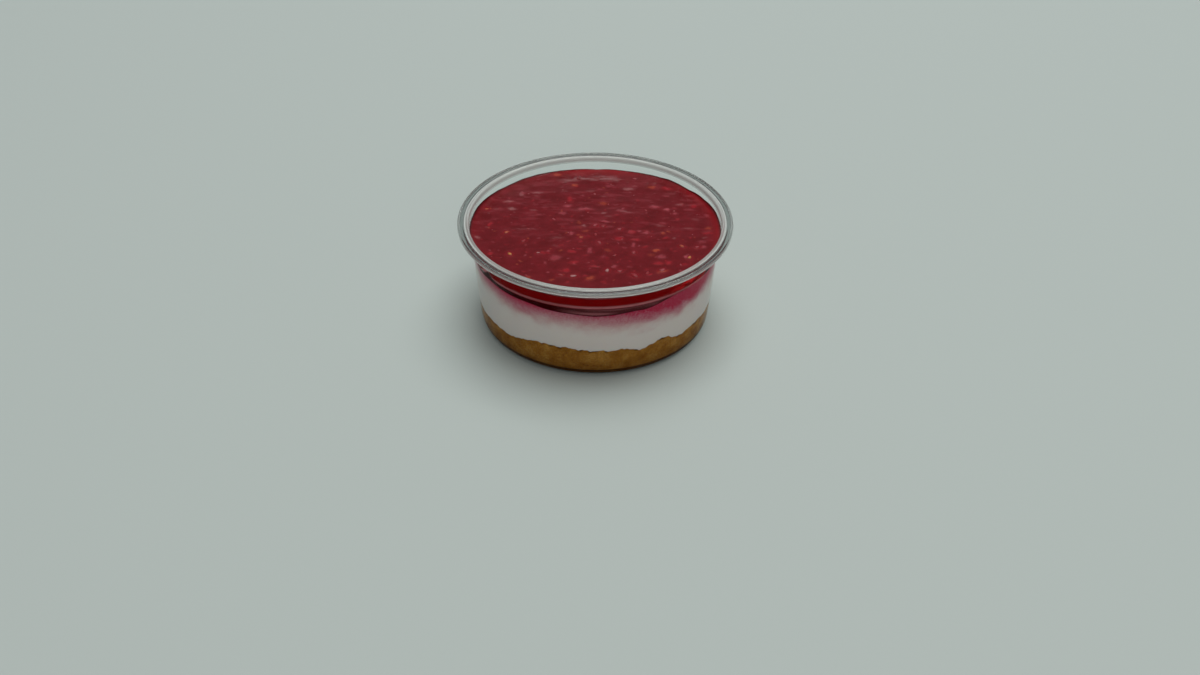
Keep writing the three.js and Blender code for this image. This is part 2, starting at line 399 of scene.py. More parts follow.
@dataclass(frozen=True)
class ClearPet(Material):
    """Thermoformed PET: water clear and glossy, with faint waves where the sheet was drawn.

    It gives bright lines at each bend and lets lamps through to the food.
    """

    name: str = "clear_pet_wall"
    tint: str = "FAFCFB"
    shadow_tint: str = "F4F6F5"
    ior: float = 1.1
    smoothest: float = 0.02
    roughest: float = 0.07
    haze: float = 0.0
    patch_mm: float = 9.0
    draw_wave_mm: float = 14.0
    draw_wave_height_mm: float = 0.02

    def draw(self, tree: bpy.types.NodeTree) -> bpy.types.NodeSocket:
        """Adds the clear shader, its haze and a plain tint for lamp rays.

        Args:
            tree: The material's nodes.

        Returns:
            The shader's output.
        """
        patches = {"Scale": per_metre(self.patch_mm), "Detail": 3.0}
        _, rough = self.varied(tree, patches, (self.smoothest, self.roughest))
        at = {"Vector": add_node(tree, "ShaderNodeTexCoord").outputs["Object"]}
        wave = add_node(
            tree, "ShaderNodeTexNoise", {"Scale": per_metre(self.draw_wave_mm), "Detail": 1.0}, at
        )
        bump = add_node(
            tree,
            "ShaderNodeBump",
            {"Strength": 1.0, "Distance": self.draw_wave_height_mm * METRES},
            {"Height": wave.outputs["Fac"]},
        )
        clear = add_node(
            tree,
            "ShaderNodeBsdfPrincipled",
            {
                "Base Color": linear(self.tint),
                "Transmission Weight": 1.0 - self.haze,
                "IOR": self.ior,
            },
            {"Roughness": rough, "Normal": bump.outputs["Normal"]},
        )
        through = add_node(tree, "ShaderNodeBsdfTransparent", {"Color": linear(self.shadow_tint)})
        path = add_node(tree, "ShaderNodeLightPath")
        lamp = add_node(
            tree,
            "ShaderNodeMath",
            {"operation": "MAXIMUM"},
            {0: path.outputs["Is Shadow Ray"], 1: path.outputs["Is Diffuse Ray"]},
        )
        mixed = add_node(
            tree,
            "ShaderNodeMixShader",
            links={0: lamp.outputs[0], 1: clear.outputs[0], 2: through.outputs[0]},
        )
        return mixed.outputs[0]


@dataclass(frozen=True)
class BiscuitCrumb(Material):
    """Pressed buttered biscuit crumb: matte and fine-grained, with soft toasted spots.

    Pits, and painted shade at the cup's heel (a dark line, and darker towards the bottom, with a
    painted reflection of the foot as a lighter line), are stored on the mesh. The grains are drawn
    at about twice their real 0.4 mm, so that they show.
    """

    name: str = "biscuit_crumb_pressed"
    mid: str = "A56D2A"
    deep: str = "905B1D"
    pale: str = "B8823C"
    toasted: str = "7E3D16"
    # Colour of the pits and of the painted shade at the heel.
    pit_and_shade_colour: str = "351709"
    deep_at: float = 0.34
    pale_at: float = 0.66
    grain_mm: float = 0.8
    patch_mm: float = 4.5
    spot_mm: float = 1.9
    grain_height_mm: float = 0.05
    grain_shade: tuple[float, float] = (0.76, 1.22)
    toasting: float = 0.85

    def draw(self, tree: bpy.types.NodeTree) -> bpy.types.NodeSocket:
        """Adds patches, grains and toasted spots over a matte shader.

        Args:
            tree: The material's nodes.

        Returns:
            The shader's output.
        """
        at = {"Vector": add_node(tree, "ShaderNodeTexCoord").outputs["Object"]}
        patches = add_node(
            tree,
            "ShaderNodeTexNoise",
            {"Scale": per_metre(self.patch_mm), "Detail": 4.0, "Roughness": 0.6},
            at,
        )
        grains = {"Scale": per_metre(self.grain_mm), "Detail": 4.0, "Roughness": 0.6}
        fine, shade = self.varied(tree, grains, self.grain_shade)
        spots = {"Scale": per_metre(self.spot_mm), "Detail": 2.0, "Distortion": 0.5}
        _, toasted = self.varied(tree, spots, (0.0, self.toasting), (0.66, 0.73))
        ground = add_node(tree, "ShaderNodeValToRGB", links={"Fac": patches.outputs["Fac"]})
        ramp = ground.color_ramp
        ramp.elements[0].position, ramp.elements[0].color = self.deep_at, linear(self.deep)
        ramp.elements[1].position, ramp.elements[1].color = self.pale_at, linear(self.pale)
        ramp.elements.new(0.5).color = linear(self.mid)
        colour = add_node(
            tree,
            "ShaderNodeVectorMath",
            {"operation": "SCALE"},
            {0: ground.outputs["Color"], "Scale": shade},
        ).outputs[0]
        colour = add_node(
            tree,
            "ShaderNodeMix",
            {"data_type": "RGBA", 7: linear(self.toasted)},
            {0: toasted, 6: colour},
        ).outputs[2]
        # Pits, and painted shade at the heel, laid over the colour.
        colour = self.marked(tree, colour, {"pit_and_shade": self.pit_and_shade_colour})
        bump = add_node(
            tree,
            "ShaderNodeBump",
            {"Strength": 0.5, "Distance": self.grain_height_mm * METRES},
            {"Height": fine},
        )
        crumb = add_node(
            tree,
            "ShaderNodeBsdfPrincipled",
            {"Roughness": 0.8, "Specular IOR Level": 0.05},
            {"Base Color": colour, "Normal": bump.outputs["Normal"]},
        )
        return crumb.outputs[0]


@dataclass(frozen=True)
class CreamCheese(Material):
    """Whipped cream cheese: dense, slightly moist and softly see-through, stained by the berries.

    The stain is stored on the mesh, so that it follows the real layer. The air bubbles that
    speckle it are drawn at 0.65 mm, coarser than real ones, so that they show.
    """

    name: str = "cream_cheese_whipped"
    plain: str = "EBDFDB"
    blush: str = "D09AA0"
    pink: str = "C2677A"
    stained: str = "C03050"
    blush_at: float = 0.45
    pink_at: float = 0.75
    depth_mm: float = 2.5
    bubble_mm: float = 0.65
    bubble_height_mm: float = 0.03
    speckle: float = 0.18

    def draw(self, tree: bpy.types.NodeTree) -> bpy.types.NodeSocket:
        """Adds the speckled stain over a soft shader.

        Args:
            tree: The material's nodes.

        Returns:
            The shader's output.
        """
        stain = add_node(tree, "ShaderNodeAttribute", {"attribute_name": "stain"})
        bubbles = {"Scale": per_metre(self.bubble_mm), "Detail": 4.0, "Roughness": 0.6}
        mottle, lift = self.varied(tree, bubbles, (-self.speckle, self.speckle))
        uneven = add_node(
            tree,
            "ShaderNodeMath",
            {"operation": "MULTIPLY_ADD"},
            {0: stain.outputs["Fac"], 1: lift, 2: stain.outputs["Fac"]},
        )
        colour = add_node(tree, "ShaderNodeValToRGB", links={"Fac": uneven.outputs[0]})
        ramp = colour.color_ramp
        ramp.elements[0].position, ramp.elements[0].color = 0.0, linear(self.plain)
        ramp.elements[1].position, ramp.elements[1].color = 1.0, linear(self.stained)
        ramp.elements.new(self.blush_at).color = linear(self.blush)
        ramp.elements.new(self.pink_at).color = linear(self.pink)
        bump = add_node(
            tree,
            "ShaderNodeBump",
            {"Strength": 0.5, "Distance": self.bubble_height_mm * METRES},
            {"Height": mottle},
        )
        cream = add_node(
            tree,
            "ShaderNodeBsdfPrincipled",
            {
                "Roughness": 0.6,
                "Specular IOR Level": 0.05,
                "Subsurface Weight": 0.4,
                "Subsurface Radius": (1.0, 0.7, 0.5),
                "Subsurface Scale": self.depth_mm * METRES,
            },
            {"Base Color": colour.outputs["Color"], "Normal": bump.outputs["Normal"]},
        )
        return cream.outputs[0]


@dataclass(frozen=True)
class BerryJelly(Material):
    """Set red berry puree: wet and glossy, deep red, with bits of pulp that glow through it.

    Where each bit lies is stored on the mesh, and so are the thin red border and the dark line
    where the jelly meets the wall. The pale bits are mostly painted highlights, the border's
    brighter red, strongest on the right and behind, is a painted glow, and the dark line is
    painted shade.
    """

    name: str = "berry_jelly_face"
    deep: str = "680911"
    cloudy: str = "79131D"
    # The last, pale colour is mostly a painted highlight, and the pink one also paints sheen
    # streaks.
    bits: tuple[str, ...] = ("A41C28", "B44830", "B44A56", "A05C60")
    # The thin film's brighter red at the wall: a painted glow.
    thin: str = "A80E18"
    # The painted shade line where the jelly meets the wall.
    edge: str = "1E0809"
    depth_mm: float = 1.0
    cloud_mm: float = 3.8
    fibre_mm: float = 0.7
    ripple_height_mm: float = 0.012

    def draw(self, tree: bpy.types.NodeTree) -> bpy.types.NodeSocket:
        """Adds clouds, bits with their painted highlights, the thin film's painted glow and the
        painted shade line at the wall over a glossy shader.

        Args:
            tree: The material's nodes.

        Returns:
            The shader's output.
        """
        _, cloudiness = self.varied(tree, {"Scale": per_metre(self.cloud_mm), "Detail": 3.0})
        threads = {"Scale": per_metre(self.fibre_mm), "Detail": 3.0, "Distortion": 0.6}
        fibres, strength = self.varied(tree, threads, (0.6, 1.0), (0.3, 0.65))
        colour = add_node(
            tree,
            "ShaderNodeMix",
            {"data_type": "RGBA", 6: linear(self.deep), 7: linear(self.cloudy)},
            {0: cloudiness},
        ).outputs[2]
        for tone, hex_colour in zip(BitTone, self.bits):
            bit = add_node(tree, "ShaderNodeAttribute", {"attribute_name": tone.value})
            shown = add_node(
                tree,
                "ShaderNodeMath",
                {"operation": "MULTIPLY"},
                {0: bit.outputs["Fac"], 1: strength},
            )
            colour = add_node(
                tree,
                "ShaderNodeMix",
                {"data_type": "RGBA", 7: linear(hex_colour)},
                {0: shown.outputs[0], 6: colour},
            ).outputs[2]
        # The thin film's painted glow, then the painted shade line at the wall.
        colour = self.marked(tree, colour, {"thin": self.thin, "edge": self.edge})
        bump = add_node(
            tree,
            "ShaderNodeBump",
            {"Strength": 0.5, "Distance": self.ripple_height_mm * METRES},
            {"Height": fibres},
        )
        jelly = add_node(
            tree,
            "ShaderNodeBsdfPrincipled",
            {
                "Roughness": 0.22,
                "IOR": 1.34,
                "Specular IOR Level": 0.43,
                "Subsurface Weight": 0.15,
                "Subsurface Radius": (1.0, 0.15, 0.12),
                "Subsurface Scale": self.depth_mm * METRES,
            },
            {"Base Color": colour, "Normal": bump.outputs["Normal"]},
        )
        return jelly.outputs[0]


@dataclass(frozen=True)
class BerryJellyAtWall(Material):
    """The same puree where it lies against the clear wall: no shine of its own, pure deep red.

    A pale line along the ledge and up the lugs' flanks is a painted highlight. Under the ledge in
    front, cream smeared by the pour shows as pale streaks, and the part under the ledge is painted
    shade.
    """

    name: str = "berry_jelly_at_wall"
    deep: str = "860406"
    shade: str = "3A0103"
    # Colour of the painted highlight along the ledge and of the smeared cream under it.
    smear_and_highlight: str = "CC7A82"
    pulp: str = "D81A20"
    patch_mm: float = 4.0

    def draw(self, tree: bpy.types.NodeTree) -> bpy.types.NodeSocket:
        """Adds painted shade, pulp, and smeared cream with a painted highlight over a plain red.

        Args:
            tree: The material's nodes.

        Returns:
            The shader's output.
        """
        patches = {"Scale": per_metre(self.patch_mm), "Detail": 3.0}
        _, strength = self.varied(tree, patches, (0.88, 1.1))
        colour = add_node(
            tree,
            "ShaderNodeVectorMath",
            {"operation": "SCALE", 0: linear(self.deep)[:3]},
            {"Scale": strength},
        ).outputs[0]
        marks = {"shade": self.shade, "pulp_at_wall": self.pulp, "smear_and_highlight": self.smear_and_highlight}
        colour = self.marked(tree, colour, marks)
        jelly = add_node(
            tree,
            "ShaderNodeBsdfPrincipled",
            {"Roughness": 0.7, "Specular IOR Level": 0.0},
            {"Base Color": colour},
        )
        return jelly.outputs[0]


@dataclass(frozen=True)
class SeedHull(Material):
    """Berry seeds and pulp under a wet film: red to orange and straw, glossy.

    The film thickens down a seed's flanks, so that its outline melts into the jelly.
    """

    name: str = "berry_seed_hull"
    # The last, palest tone is mostly a painted glint.
    colours: tuple[str, ...] = ("9A212C", "A43C47", "B44C28", "CE8444", "B47C7E")
    film: str = "720B12"

    def draw(self, tree: bpy.types.NodeTree) -> bpy.types.NodeSocket:
        """Adds the tones as a ramp, and the film over them, under a glossy shader.

        Args:
            tree: The material's nodes.

        Returns:
            The shader's output.
        """
        tone = add_node(tree, "ShaderNodeAttribute", {"attribute_name": "tone"})
        colour = add_node(tree, "ShaderNodeValToRGB", links={"Fac": tone.outputs["Fac"]})
        ramp = colour.color_ramp
        places = [seed_tone.value for seed_tone in SeedTone]
        ramp.elements[0].position, ramp.elements[0].color = places[0], linear(self.colours[0])
        ramp.elements[1].position, ramp.elements[1].color = places[-1], linear(self.colours[-1])
        for position, hex_colour in zip(places[1:-1], self.colours[1:-1]):
            ramp.elements.new(position).color = linear(hex_colour)
        filmed = self.marked(tree, colour.outputs["Color"], {"film": self.film})
        hull = add_node(
            tree,
            "ShaderNodeBsdfPrincipled",
            {"Roughness": 0.35, "IOR": 1.36, "Subsurface Weight": 0.2, "Subsurface Scale": METRES},
            {"Base Color": filmed},
        )
        return hull.outputs[0]


@dataclass(frozen=True)
class PaleFloor(Material):
    """Matt paint, rolled on: plain, pale and cool."""

    name: str = "matt_pale_paint"
    colour: str = "C4D0CE"

    def draw(self, tree: bpy.types.NodeTree) -> bpy.types.NodeSocket:
        """Adds a plain matt shader.

        Args:
            tree: The material's nodes.

        Returns:
            The shader's output.
        """
        paint = add_node(
            tree,
            "ShaderNodeBsdfPrincipled",
            {"Base Color": linear(self.colour), "Roughness": 0.9, "Specular IOR Level": 0.1},
        )
        return paint.outputs[0]


WALL_HEIGHTS = (5.0, 9.0, 13.0, 17.0, 21.0, 25.0, 28.5)
HEEL_HEIGHTS = (0.12, 0.35, 0.8, 1.6, 2.6, 3.7)


@dataclass
class CupForm:
    """The cup's measures in millimetres, and the radii that the food reads from them."""

    height: float
    rim_radius: float
    lip_height: float = 1.7
    corner: float = 0.45
    bead: float = 1.2
    groove: float = 0.3
    mouth_inset: float = 4.1
    wall: float = 0.55
    foot_radius: float = 40.0
    foot_width: float = 2.2
    foot_slope: float = 1.0
    recess: float = 0.9
    heel_top: float = 5.0
    heel_radius: float = 43.15
    wall_top_radius: float = 45.15
    bulge: float = 0.2
    ledge: float = 30.8
    ledge_rise: float = 2.5
    band_radius: float = 46.8
    step_height: float = 39.0
    step_depth: float = 0.3
    lugs: tuple[float, ...] = (62.0, 183.0, 304.0)
    lug_rise: float = 2.2
    lug_half_width: float = 5.0
    lug_flat: float = 1.15
    lug_below: tuple[float, float] = (6.0, 1.0)
    lug_clear: float = 0.5

    @property
    def mouth(self) -> float:
        """Inner radius at the rim."""
        return self.rim_radius - self.mouth_inset

    def wall_radius(self, z: np.ndarray) -> np.ndarray:
        """Outer radius of the tapered wall.

        Args:
            z: Heights on the wall.

        Returns:
            A radius for each height.
        """
        t = (z - self.heel_top) / (self.ledge - self.heel_top)
        taper = self.heel_radius + (self.wall_top_radius - self.heel_radius) * t
        return taper + 4 * self.bulge * t * (1 - t)

    def heel_curve(self, z: np.ndarray) -> np.ndarray:
        """Outer radius of the quarter-oval heel."""
        t = np.clip(1 - z / self.heel_top, 0, 1)
        return self.foot_radius + (self.heel_radius - self.foot_radius) * np.sqrt(1 - t * t)

    def lug_share(self, azimuths: np.ndarray) -> np.ndarray:
        """1 on a lug's crest, easing to 0 past its sides."""
        away = np.min([np.abs((azimuths % 360) - lug) for lug in self.lugs], axis=0)
        return np.clip(self.lug_flat * (1 - away / self.lug_half_width), 0, 1)

    def lifted(self, azimuths: np.ndarray, z: np.ndarray) -> np.ndarray:
        """How far the lugs lift points of the section, fading above and below the ledge.

        Args:
            azimuths: Azimuths in degrees.
            z: The points' heights before they are lifted.

        Returns:
            How far each point is lifted.
        """
        below = smoothstep(*(self.ledge - depth for depth in self.lug_below), z)
        lug_top = self.step_height - self.lug_clear
        ledge_top = self.ledge + self.ledge_rise + self.wall
        above = np.clip((lug_top - z) / (lug_top - ledge_top), 0, 1)
        return self.lug_rise * self.lug_share(azimuths) * below * above

    def inside(self) -> np.ndarray:
        """The section's inner points from the step at the mouth down to the floor's groove.

        Returns:
            Radius and height of each point, one row each.
        """
        f = self
        foot_inner = f.foot_radius - f.foot_width
        ledge_top = f.ledge + f.ledge_rise
        third = f.wall / 3
        heel = [(float(f.heel_curve(np.array(z))) - f.wall, z + f.wall, 0) for z in HEEL_HEIGHTS]
        corners = [
            (f.mouth, f.height - f.corner, 0),
            (f.mouth, f.step_height + f.step_depth, 0.15),
            (f.mouth - f.step_depth, f.step_height, 0.15),
            (f.band_radius - f.wall, ledge_top + third, 0.5),
            (f.wall_top_radius - f.wall, f.ledge + third, 0.5),
            *[(float(f.wall_radius(z)) - f.wall, z, 0) for z in WALL_HEIGHTS[::-1]],
            *heel[::-1],
            (f.foot_radius - f.wall, f.wall, 0.1),
            (foot_inner, f.wall, 0.3),
        ]
        return rounded(corners)

    def inner_radius(self, azimuths: np.ndarray, z: np.ndarray) -> np.ndarray:
        """Inner radius of the cup at azimuths, one for each row, and heights above its floor.

        Args:
            azimuths: Azimuths in degrees, as a column.
            z: A row of heights for each azimuth.

        Returns:
            A radius for each height.
        """
        radii, heights = self.inside()[-2::-1].T
        rows = []
        for azimuth, row in zip(azimuths[:, 0], z):
            rows.append(np.interp(row, heights + self.lifted(azimuth, heights), radii))
        return np.array(rows)


def rounded(corners: list[tuple[float, float, float]], steps: int = 4) -> np.ndarray:
    """Rounds the corners of an outline.

    Args:
        corners: Radius, height and how far the rounding reaches from the corner, for each.
        steps: How many pieces each rounding has.

    Returns:
        The outline's points, one row each.
    """
    points = [corners[0][:2]]
    for before, here, after in zip(corners, corners[1:], corners[2:]):
        corner = np.array(here[:2])
        if here[2] <= 0:
            points.append(tuple(corner))
            continue
        ends = []
        for other in (before, after):
            way = np.array(other[:2]) - corner
            length = np.linalg.norm(way)
            ends.append(corner + way / length * min(here[2], 0.48 * length))
        for t in np.linspace(0, 1, steps + 1):
            bend = (1 - t) ** 2 * ends[0] + 2 * t * (1 - t) * corner + t * t * ends[1]
            points.append(tuple(bend))
    points.append(corners[-1][:2])
    return np.array(points)


@dataclass
class ClearCup:
    """The moulded cup: foot ring, tapered wall, ledge with lugs, and a rim with a lip."""

    form: CupForm
    wall_finish: ClearPet = field(default_factory=ClearPet)
    # The rim's grey copy: its grey tint is painted shade, standing for dark reflections.
    rim_shade_finish: ClearPet = field(default_factory=lambda: ClearPet(
        name="clear_pet_rim_painted_shade", tint="B6BBB9", ior=1.4, smoothest=0.08, roughest=0.1,
        draw_wave_height_mm=0.0,
    ))
    # The pale hazed copy for the beads and the lip's lower half: a painted highlight.
    bead_highlight_finish: ClearPet = field(default_factory=lambda: ClearPet(
        name="clear_pet_bead_painted_highlight", tint="E6EAE8", ior=1.4, smoothest=0.1, roughest=0.12, haze=0.42,
        draw_wave_height_mm=0.0,
    ))
    segments: int = 360
    rim_below_step: float = 0.5
    bead_reach: float = 1.7
    lip_reach: float = 0.7

    def outline(self) -> np.ndarray:
        """The section's points from the axis under the base, round, to the axis on the floor.

        Returns:
            Radius and height of each point, one row each.
        """
        f = self.form
        foot_inner = f.foot_radius - f.foot_width
        top, mouth, rim = f.height, f.mouth, f.rim_radius
        ledge_top = f.ledge + f.ledge_rise
        lip = top - f.lip_height
        outside = [
            (0, f.recess, 0),
            (foot_inner - f.foot_slope, f.recess, 0.4),
            (foot_inner, 0, 0.3),
            (f.foot_radius, 0, 0.1),
            *[(float(f.heel_curve(np.array(z))), z, 0) for z in HEEL_HEIGHTS],
            *[(float(f.wall_radius(z)), z, 0) for z in WALL_HEIGHTS],
            (f.wall_top_radius, f.ledge, 0.5),
            (f.band_radius, ledge_top, 0.5),
            (f.band_radius, f.step_height - f.step_depth, 0.4),
            (mouth + f.wall, top - f.bead, 0.3),
            (mouth + f.bead / 2 + f.corner, top - f.wall - 0.1, 0.3),
            (mouth + 1.4, top - 1.6 * f.groove - f.wall, 0.3),
            (rim - 1.1, top - f.groove - f.wall, 0.3),
            (rim - f.wall, top - 2 * f.corner, 0.35),
            (rim - f.wall, lip, 0.12),
            (rim, lip, 0.2),
            (rim, top - f.lip_height / 2 - 0.05, 0.1),
            (rim, top - f.corner, 0.3),
            (rim - f.corner, top, 0.3),
            (rim - 0.7, top, 0.25),
            (rim - 1.0, top - f.groove, 0.25),
            (mouth + 2.4, top - f.groove, 0.2),
            (mouth + 1.9, top - f.groove / 2, 0.2),
            (mouth + 1.65, top - 1.6 * f.groove, 0.15),
            (mouth + 1.15, top - 1.6 * f.groove, 0.25),
            (mouth + f.bead / 2, top, 0.4),
        ]
        floor = [
            (foot_inner - f.foot_slope, f.recess + f.wall, 0.4),
            (0, f.recess + f.wall, 0),
        ]
        mouth_corner, *inside = [(r, z, 0) for r, z in f.inside()]
        return rounded([*outside, (*mouth_corner[:2], 0.35), *inside, *floor])

    def build(self) -> bpy.types.Object:
        """Makes the cup and dresses it.

        Returns:
            The piece.
        """
        outline = self.outline()
        azimuths = np.arange(self.segments)[:, None] * 360 / self.segments
        z = outline[:, 1] + self.form.lifted(azimuths, outline[:, 1] + 0 * azimuths)
        points = around(azimuths + 0 * z, outline[:, 0] + 0 * z, z)
        cup = turned_mesh("cup_shell", points)
        for finish in (self.wall_finish, self.rim_shade_finish, self.bead_highlight_finish):
            finish.dress(cup)
        inner = self.finish_places(outline)[1:-1]
        share_finishes(cup, np.concatenate([np.tile(inner, self.segments), [0, 0]]))
        return settle(cup, Node.CUP)

    def finish_places(self, outline: np.ndarray) -> np.ndarray:
        """Which finish each point of the section has: 0 for wall, 1 for the rim's grey copy, which
        is painted shade, and 2 for the pale hazed copy on the beads and the lip's lower half,
        which is a painted highlight.

        Args:
            outline: The section's points, one row each.

        Returns:
            A whole number for each point.
        """
        f = self.form
        radii, heights = outline.T
        rim = heights > f.step_height - self.rim_below_step
        inner_bead = (radii < f.mouth + self.bead_reach) & (heights > f.step_height + 0.1)
        lip = (radii > f.rim_radius - self.lip_reach) & (heights < f.height - f.lip_height / 2)
        return rim + 1 * (rim & (inner_bead | lip))


@dataclass(frozen=True)
class LayerLine:
    """Where two layers meet at the wall: azimuth and height pairs, with finer raggedness."""

    heights: tuple[tuple[float, float], ...]
    ragged_mm: float
    ragged_height_mm: float
    pattern: Pattern
    teeth_mm: float = 1.0
    teeth_height_mm: float = 0.0

    def at(self, azimuths: np.ndarray, radius: float) -> np.ndarray:
        """Heights at the azimuths, in degrees, on a wall of that radius.

        Args:
            azimuths: Azimuths in degrees.
            radius: The wall's radius there.

        Returns:
            A height for each azimuth.
        """
        places = np.array([a for a, _ in self.heights] + [self.heights[0][0] + 360])
        levels = np.array([z for _, z in self.heights] + [self.heights[0][1]])
        turn = (azimuths - places[0]) % 360 + places[0]
        index = np.clip(np.searchsorted(places, turn, side="right") - 1, 0, len(places) - 2)
        t = smoothstep(0, 1, (turn - places[index]) / (places[index + 1] - places[index]))
        eased = levels[index] + (levels[index + 1] - levels[index]) * t
        on_wall = around(azimuths.ravel(), np.full(azimuths.size, radius), np.zeros(azimuths.size))
        ragged = fractal(on_wall, self.ragged_mm, 3, self.pattern).reshape(azimuths.shape)
        teeth = fractal(on_wall, self.teeth_mm, 2, self.pattern + 5).reshape(azimuths.shape)
        return eased + self.ragged_height_mm * ragged + self.teeth_height_mm * teeth


CRUMB_LINE = LayerLine(
    (
        (-150, 12.1), (-115, 11.0), (-71, 10.2), (-45, 10.1), (-25, 12.8), (-5, 12.2), (14, 12.0),
        (23, 10.6), (33.5, 12.9), (45, 10.3), (60, 11.2), (90, 10.6), (120, 12.2), (165, 10.8),
    ),
    ragged_mm=3.2,
    ragged_height_mm=0.45,
    pattern=Pattern.CRUMB_LINE,
    teeth_mm=1.1,
    teeth_height_mm=0.42,
)
CREAM_LINE = LayerLine(
    (
        (-130, 29.6), (-80, 29.4), (-35, 28.8), (-15, 28.2), (2, 27.8), (21, 28.5), (42, 30.6),
        (70, 30.4), (115, 28.6), (170, 29.8),
    ),
    ragged_mm=7.0,
    ragged_height_mm=0.25,
    pattern=Pattern.CREAM_LINE,
)


def unevenness(x: np.ndarray, y: np.ndarray) -> np.ndarray:
    """Slow uneven waves over a spread layer, between -1 and 1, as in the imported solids.

    Args:
        x: Places across, in millimetres.
        y: Places from front to back.

    Returns:
        A value for each place.
    """
    long = np.sin(0.16 * x + 0.9) * np.cos(0.13 * y - 0.4)
    cross = np.sin(0.11 * x - 0.19 * y + 2.1)
    short = np.sin(0.37 * x + 0.21 * y) * np.cos(0.33 * y - 0.25 * x + 1.2)
    return 0.4 * long + 0.3 * cross + 0.3 * short


@dataclass
class FoodLayer:
    """What the layers share: how they stand in the cup and reach into its wall."""

    form: CupForm
    segments: int = 600
    into_wall: float = 0.1
    overlap: float = 0.4
    side_steps: int = 48
    inward: tuple[float, ...] = (0.97, 0.6, 0.0)

    @property
    def azimuths(self) -> np.ndarray:
        """One azimuth for each section, as a column."""
        return np.arange(self.segments)[:, None] * 360 / self.segments

    def side(self, low: np.ndarray, high: np.ndarray) -> tuple[np.ndarray, np.ndarray]:
        """Radii and heights up the wall.

        Args:
            low: The height of the side's foot for each section.
            high: The height of its top.

        Returns:
            Radii and heights, one row for each section.
        """
        share = np.linspace(0, 1, self.side_steps)
        z = low + (high - low) * share
        return self.form.inner_radius(self.azimuths, z) + self.into_wall, z


@dataclass
class BiscuitBase(FoodLayer):
    """The pressed crumb base, rounded at the cup's heel."""

    segments: int = 900
    side_steps: int = 50
    into_wall: float = 0.16
    into_floor: float = 0.1
    into_groove: float = 0.05
    inward: tuple[float, ...] = (0.97, 0.85, 0.6, 0.3, 0.0)
    lid_rise: tuple[float, ...] = (0.1, 0.4, 0.8, 1.0, 1.0)
    under: tuple[float, ...] = (0.0, 0.4, 0.8, 1.0)
    finish: BiscuitCrumb = field(default_factory=BiscuitCrumb)
    level: float = 11.4
    leaves_wall: float = 0.75
    pit_mm: float = 1.5
    pit_depth: float = 0.05
    pit_strength: float = 0.8
    pit_contrast: tuple[float, float] = (0.2, 0.5)
    pits_under_line: tuple[float, float] = (1.1, 0.2)
    # Painted shade at the heel, a darkening towards the bottom, and a painted reflection of the
    # foot as a lighter band.
    heel_shade_heights: tuple[float, float] = (3.2, 2.6)
    heel_shade_strength: float = 0.8
    dull_heights: tuple[float, float] = (9.5, 3.2)
    dull_strength: float = 0.34
    painted_foot_reflection: tuple[float, float, float, float] = (0.9, 1.2, 2.1, 2.5)
    painted_foot_reflection_strength: float = 0.36

    def build(self) -> bpy.types.Object:
        """Makes the base and dresses it.

        Returns:
            The piece.
        """
        form = self.form
        floor = form.recess + form.wall - self.into_floor
        groove = form.foot_radius - form.foot_width
        top = CRUMB_LINE.at(self.azimuths, form.heel_radius)
        low = np.full_like(top, self.leaves_wall)
        radii, heights = self.side(low, top)
        under_r = np.append(np.array(self.under) * (groove - form.foot_slope), groove)
        under_z = np.append(np.full(len(self.under), floor), form.wall - self.into_groove)
        lid = radii[:, -1:] * self.inward
        r = np.concatenate([under_r + 0 * top, radii, lid], axis=1)
        lid_z = top + (self.level - top) * self.lid_rise
        z = np.concatenate([under_z + 0 * top, heights, lid_z], axis=1)
        points = around(self.azimuths + 0 * r, r, z)
        flat = points.reshape(-1, 3)
        pits = smoothstep(*self.pit_contrast, value_noise(flat, self.pit_mm, Pattern.PITS))
        below_line = smoothstep(*self.pits_under_line, top - z)
        # Painted shade low on the base: a dark line at the heel and darker towards the bottom,
        # lightened where a painted reflection of the foot lies.
        low_edge = self.heel_shade_strength * smoothstep(*self.heel_shade_heights, z)
        low_edge += self.dull_strength * smoothstep(*self.dull_heights, z)
        low_edge -= self.painted_foot_reflection_strength * between(*self.painted_foot_reflection, z)
        pits = self.pit_strength * pits.reshape(r.shape) * below_line
        pit_and_shade = np.clip(pits + low_edge, 0, 1)
        points[..., :2] *= 1 - self.pit_depth * pit_and_shade[..., None] / np.maximum(r, 1)[..., None]
        base = turned_mesh("crumb_body", points)
        mark_turned(base, "pit_and_shade", pit_and_shade)
        self.finish.dress(base)
        return settle(base, Node.CRUMB)


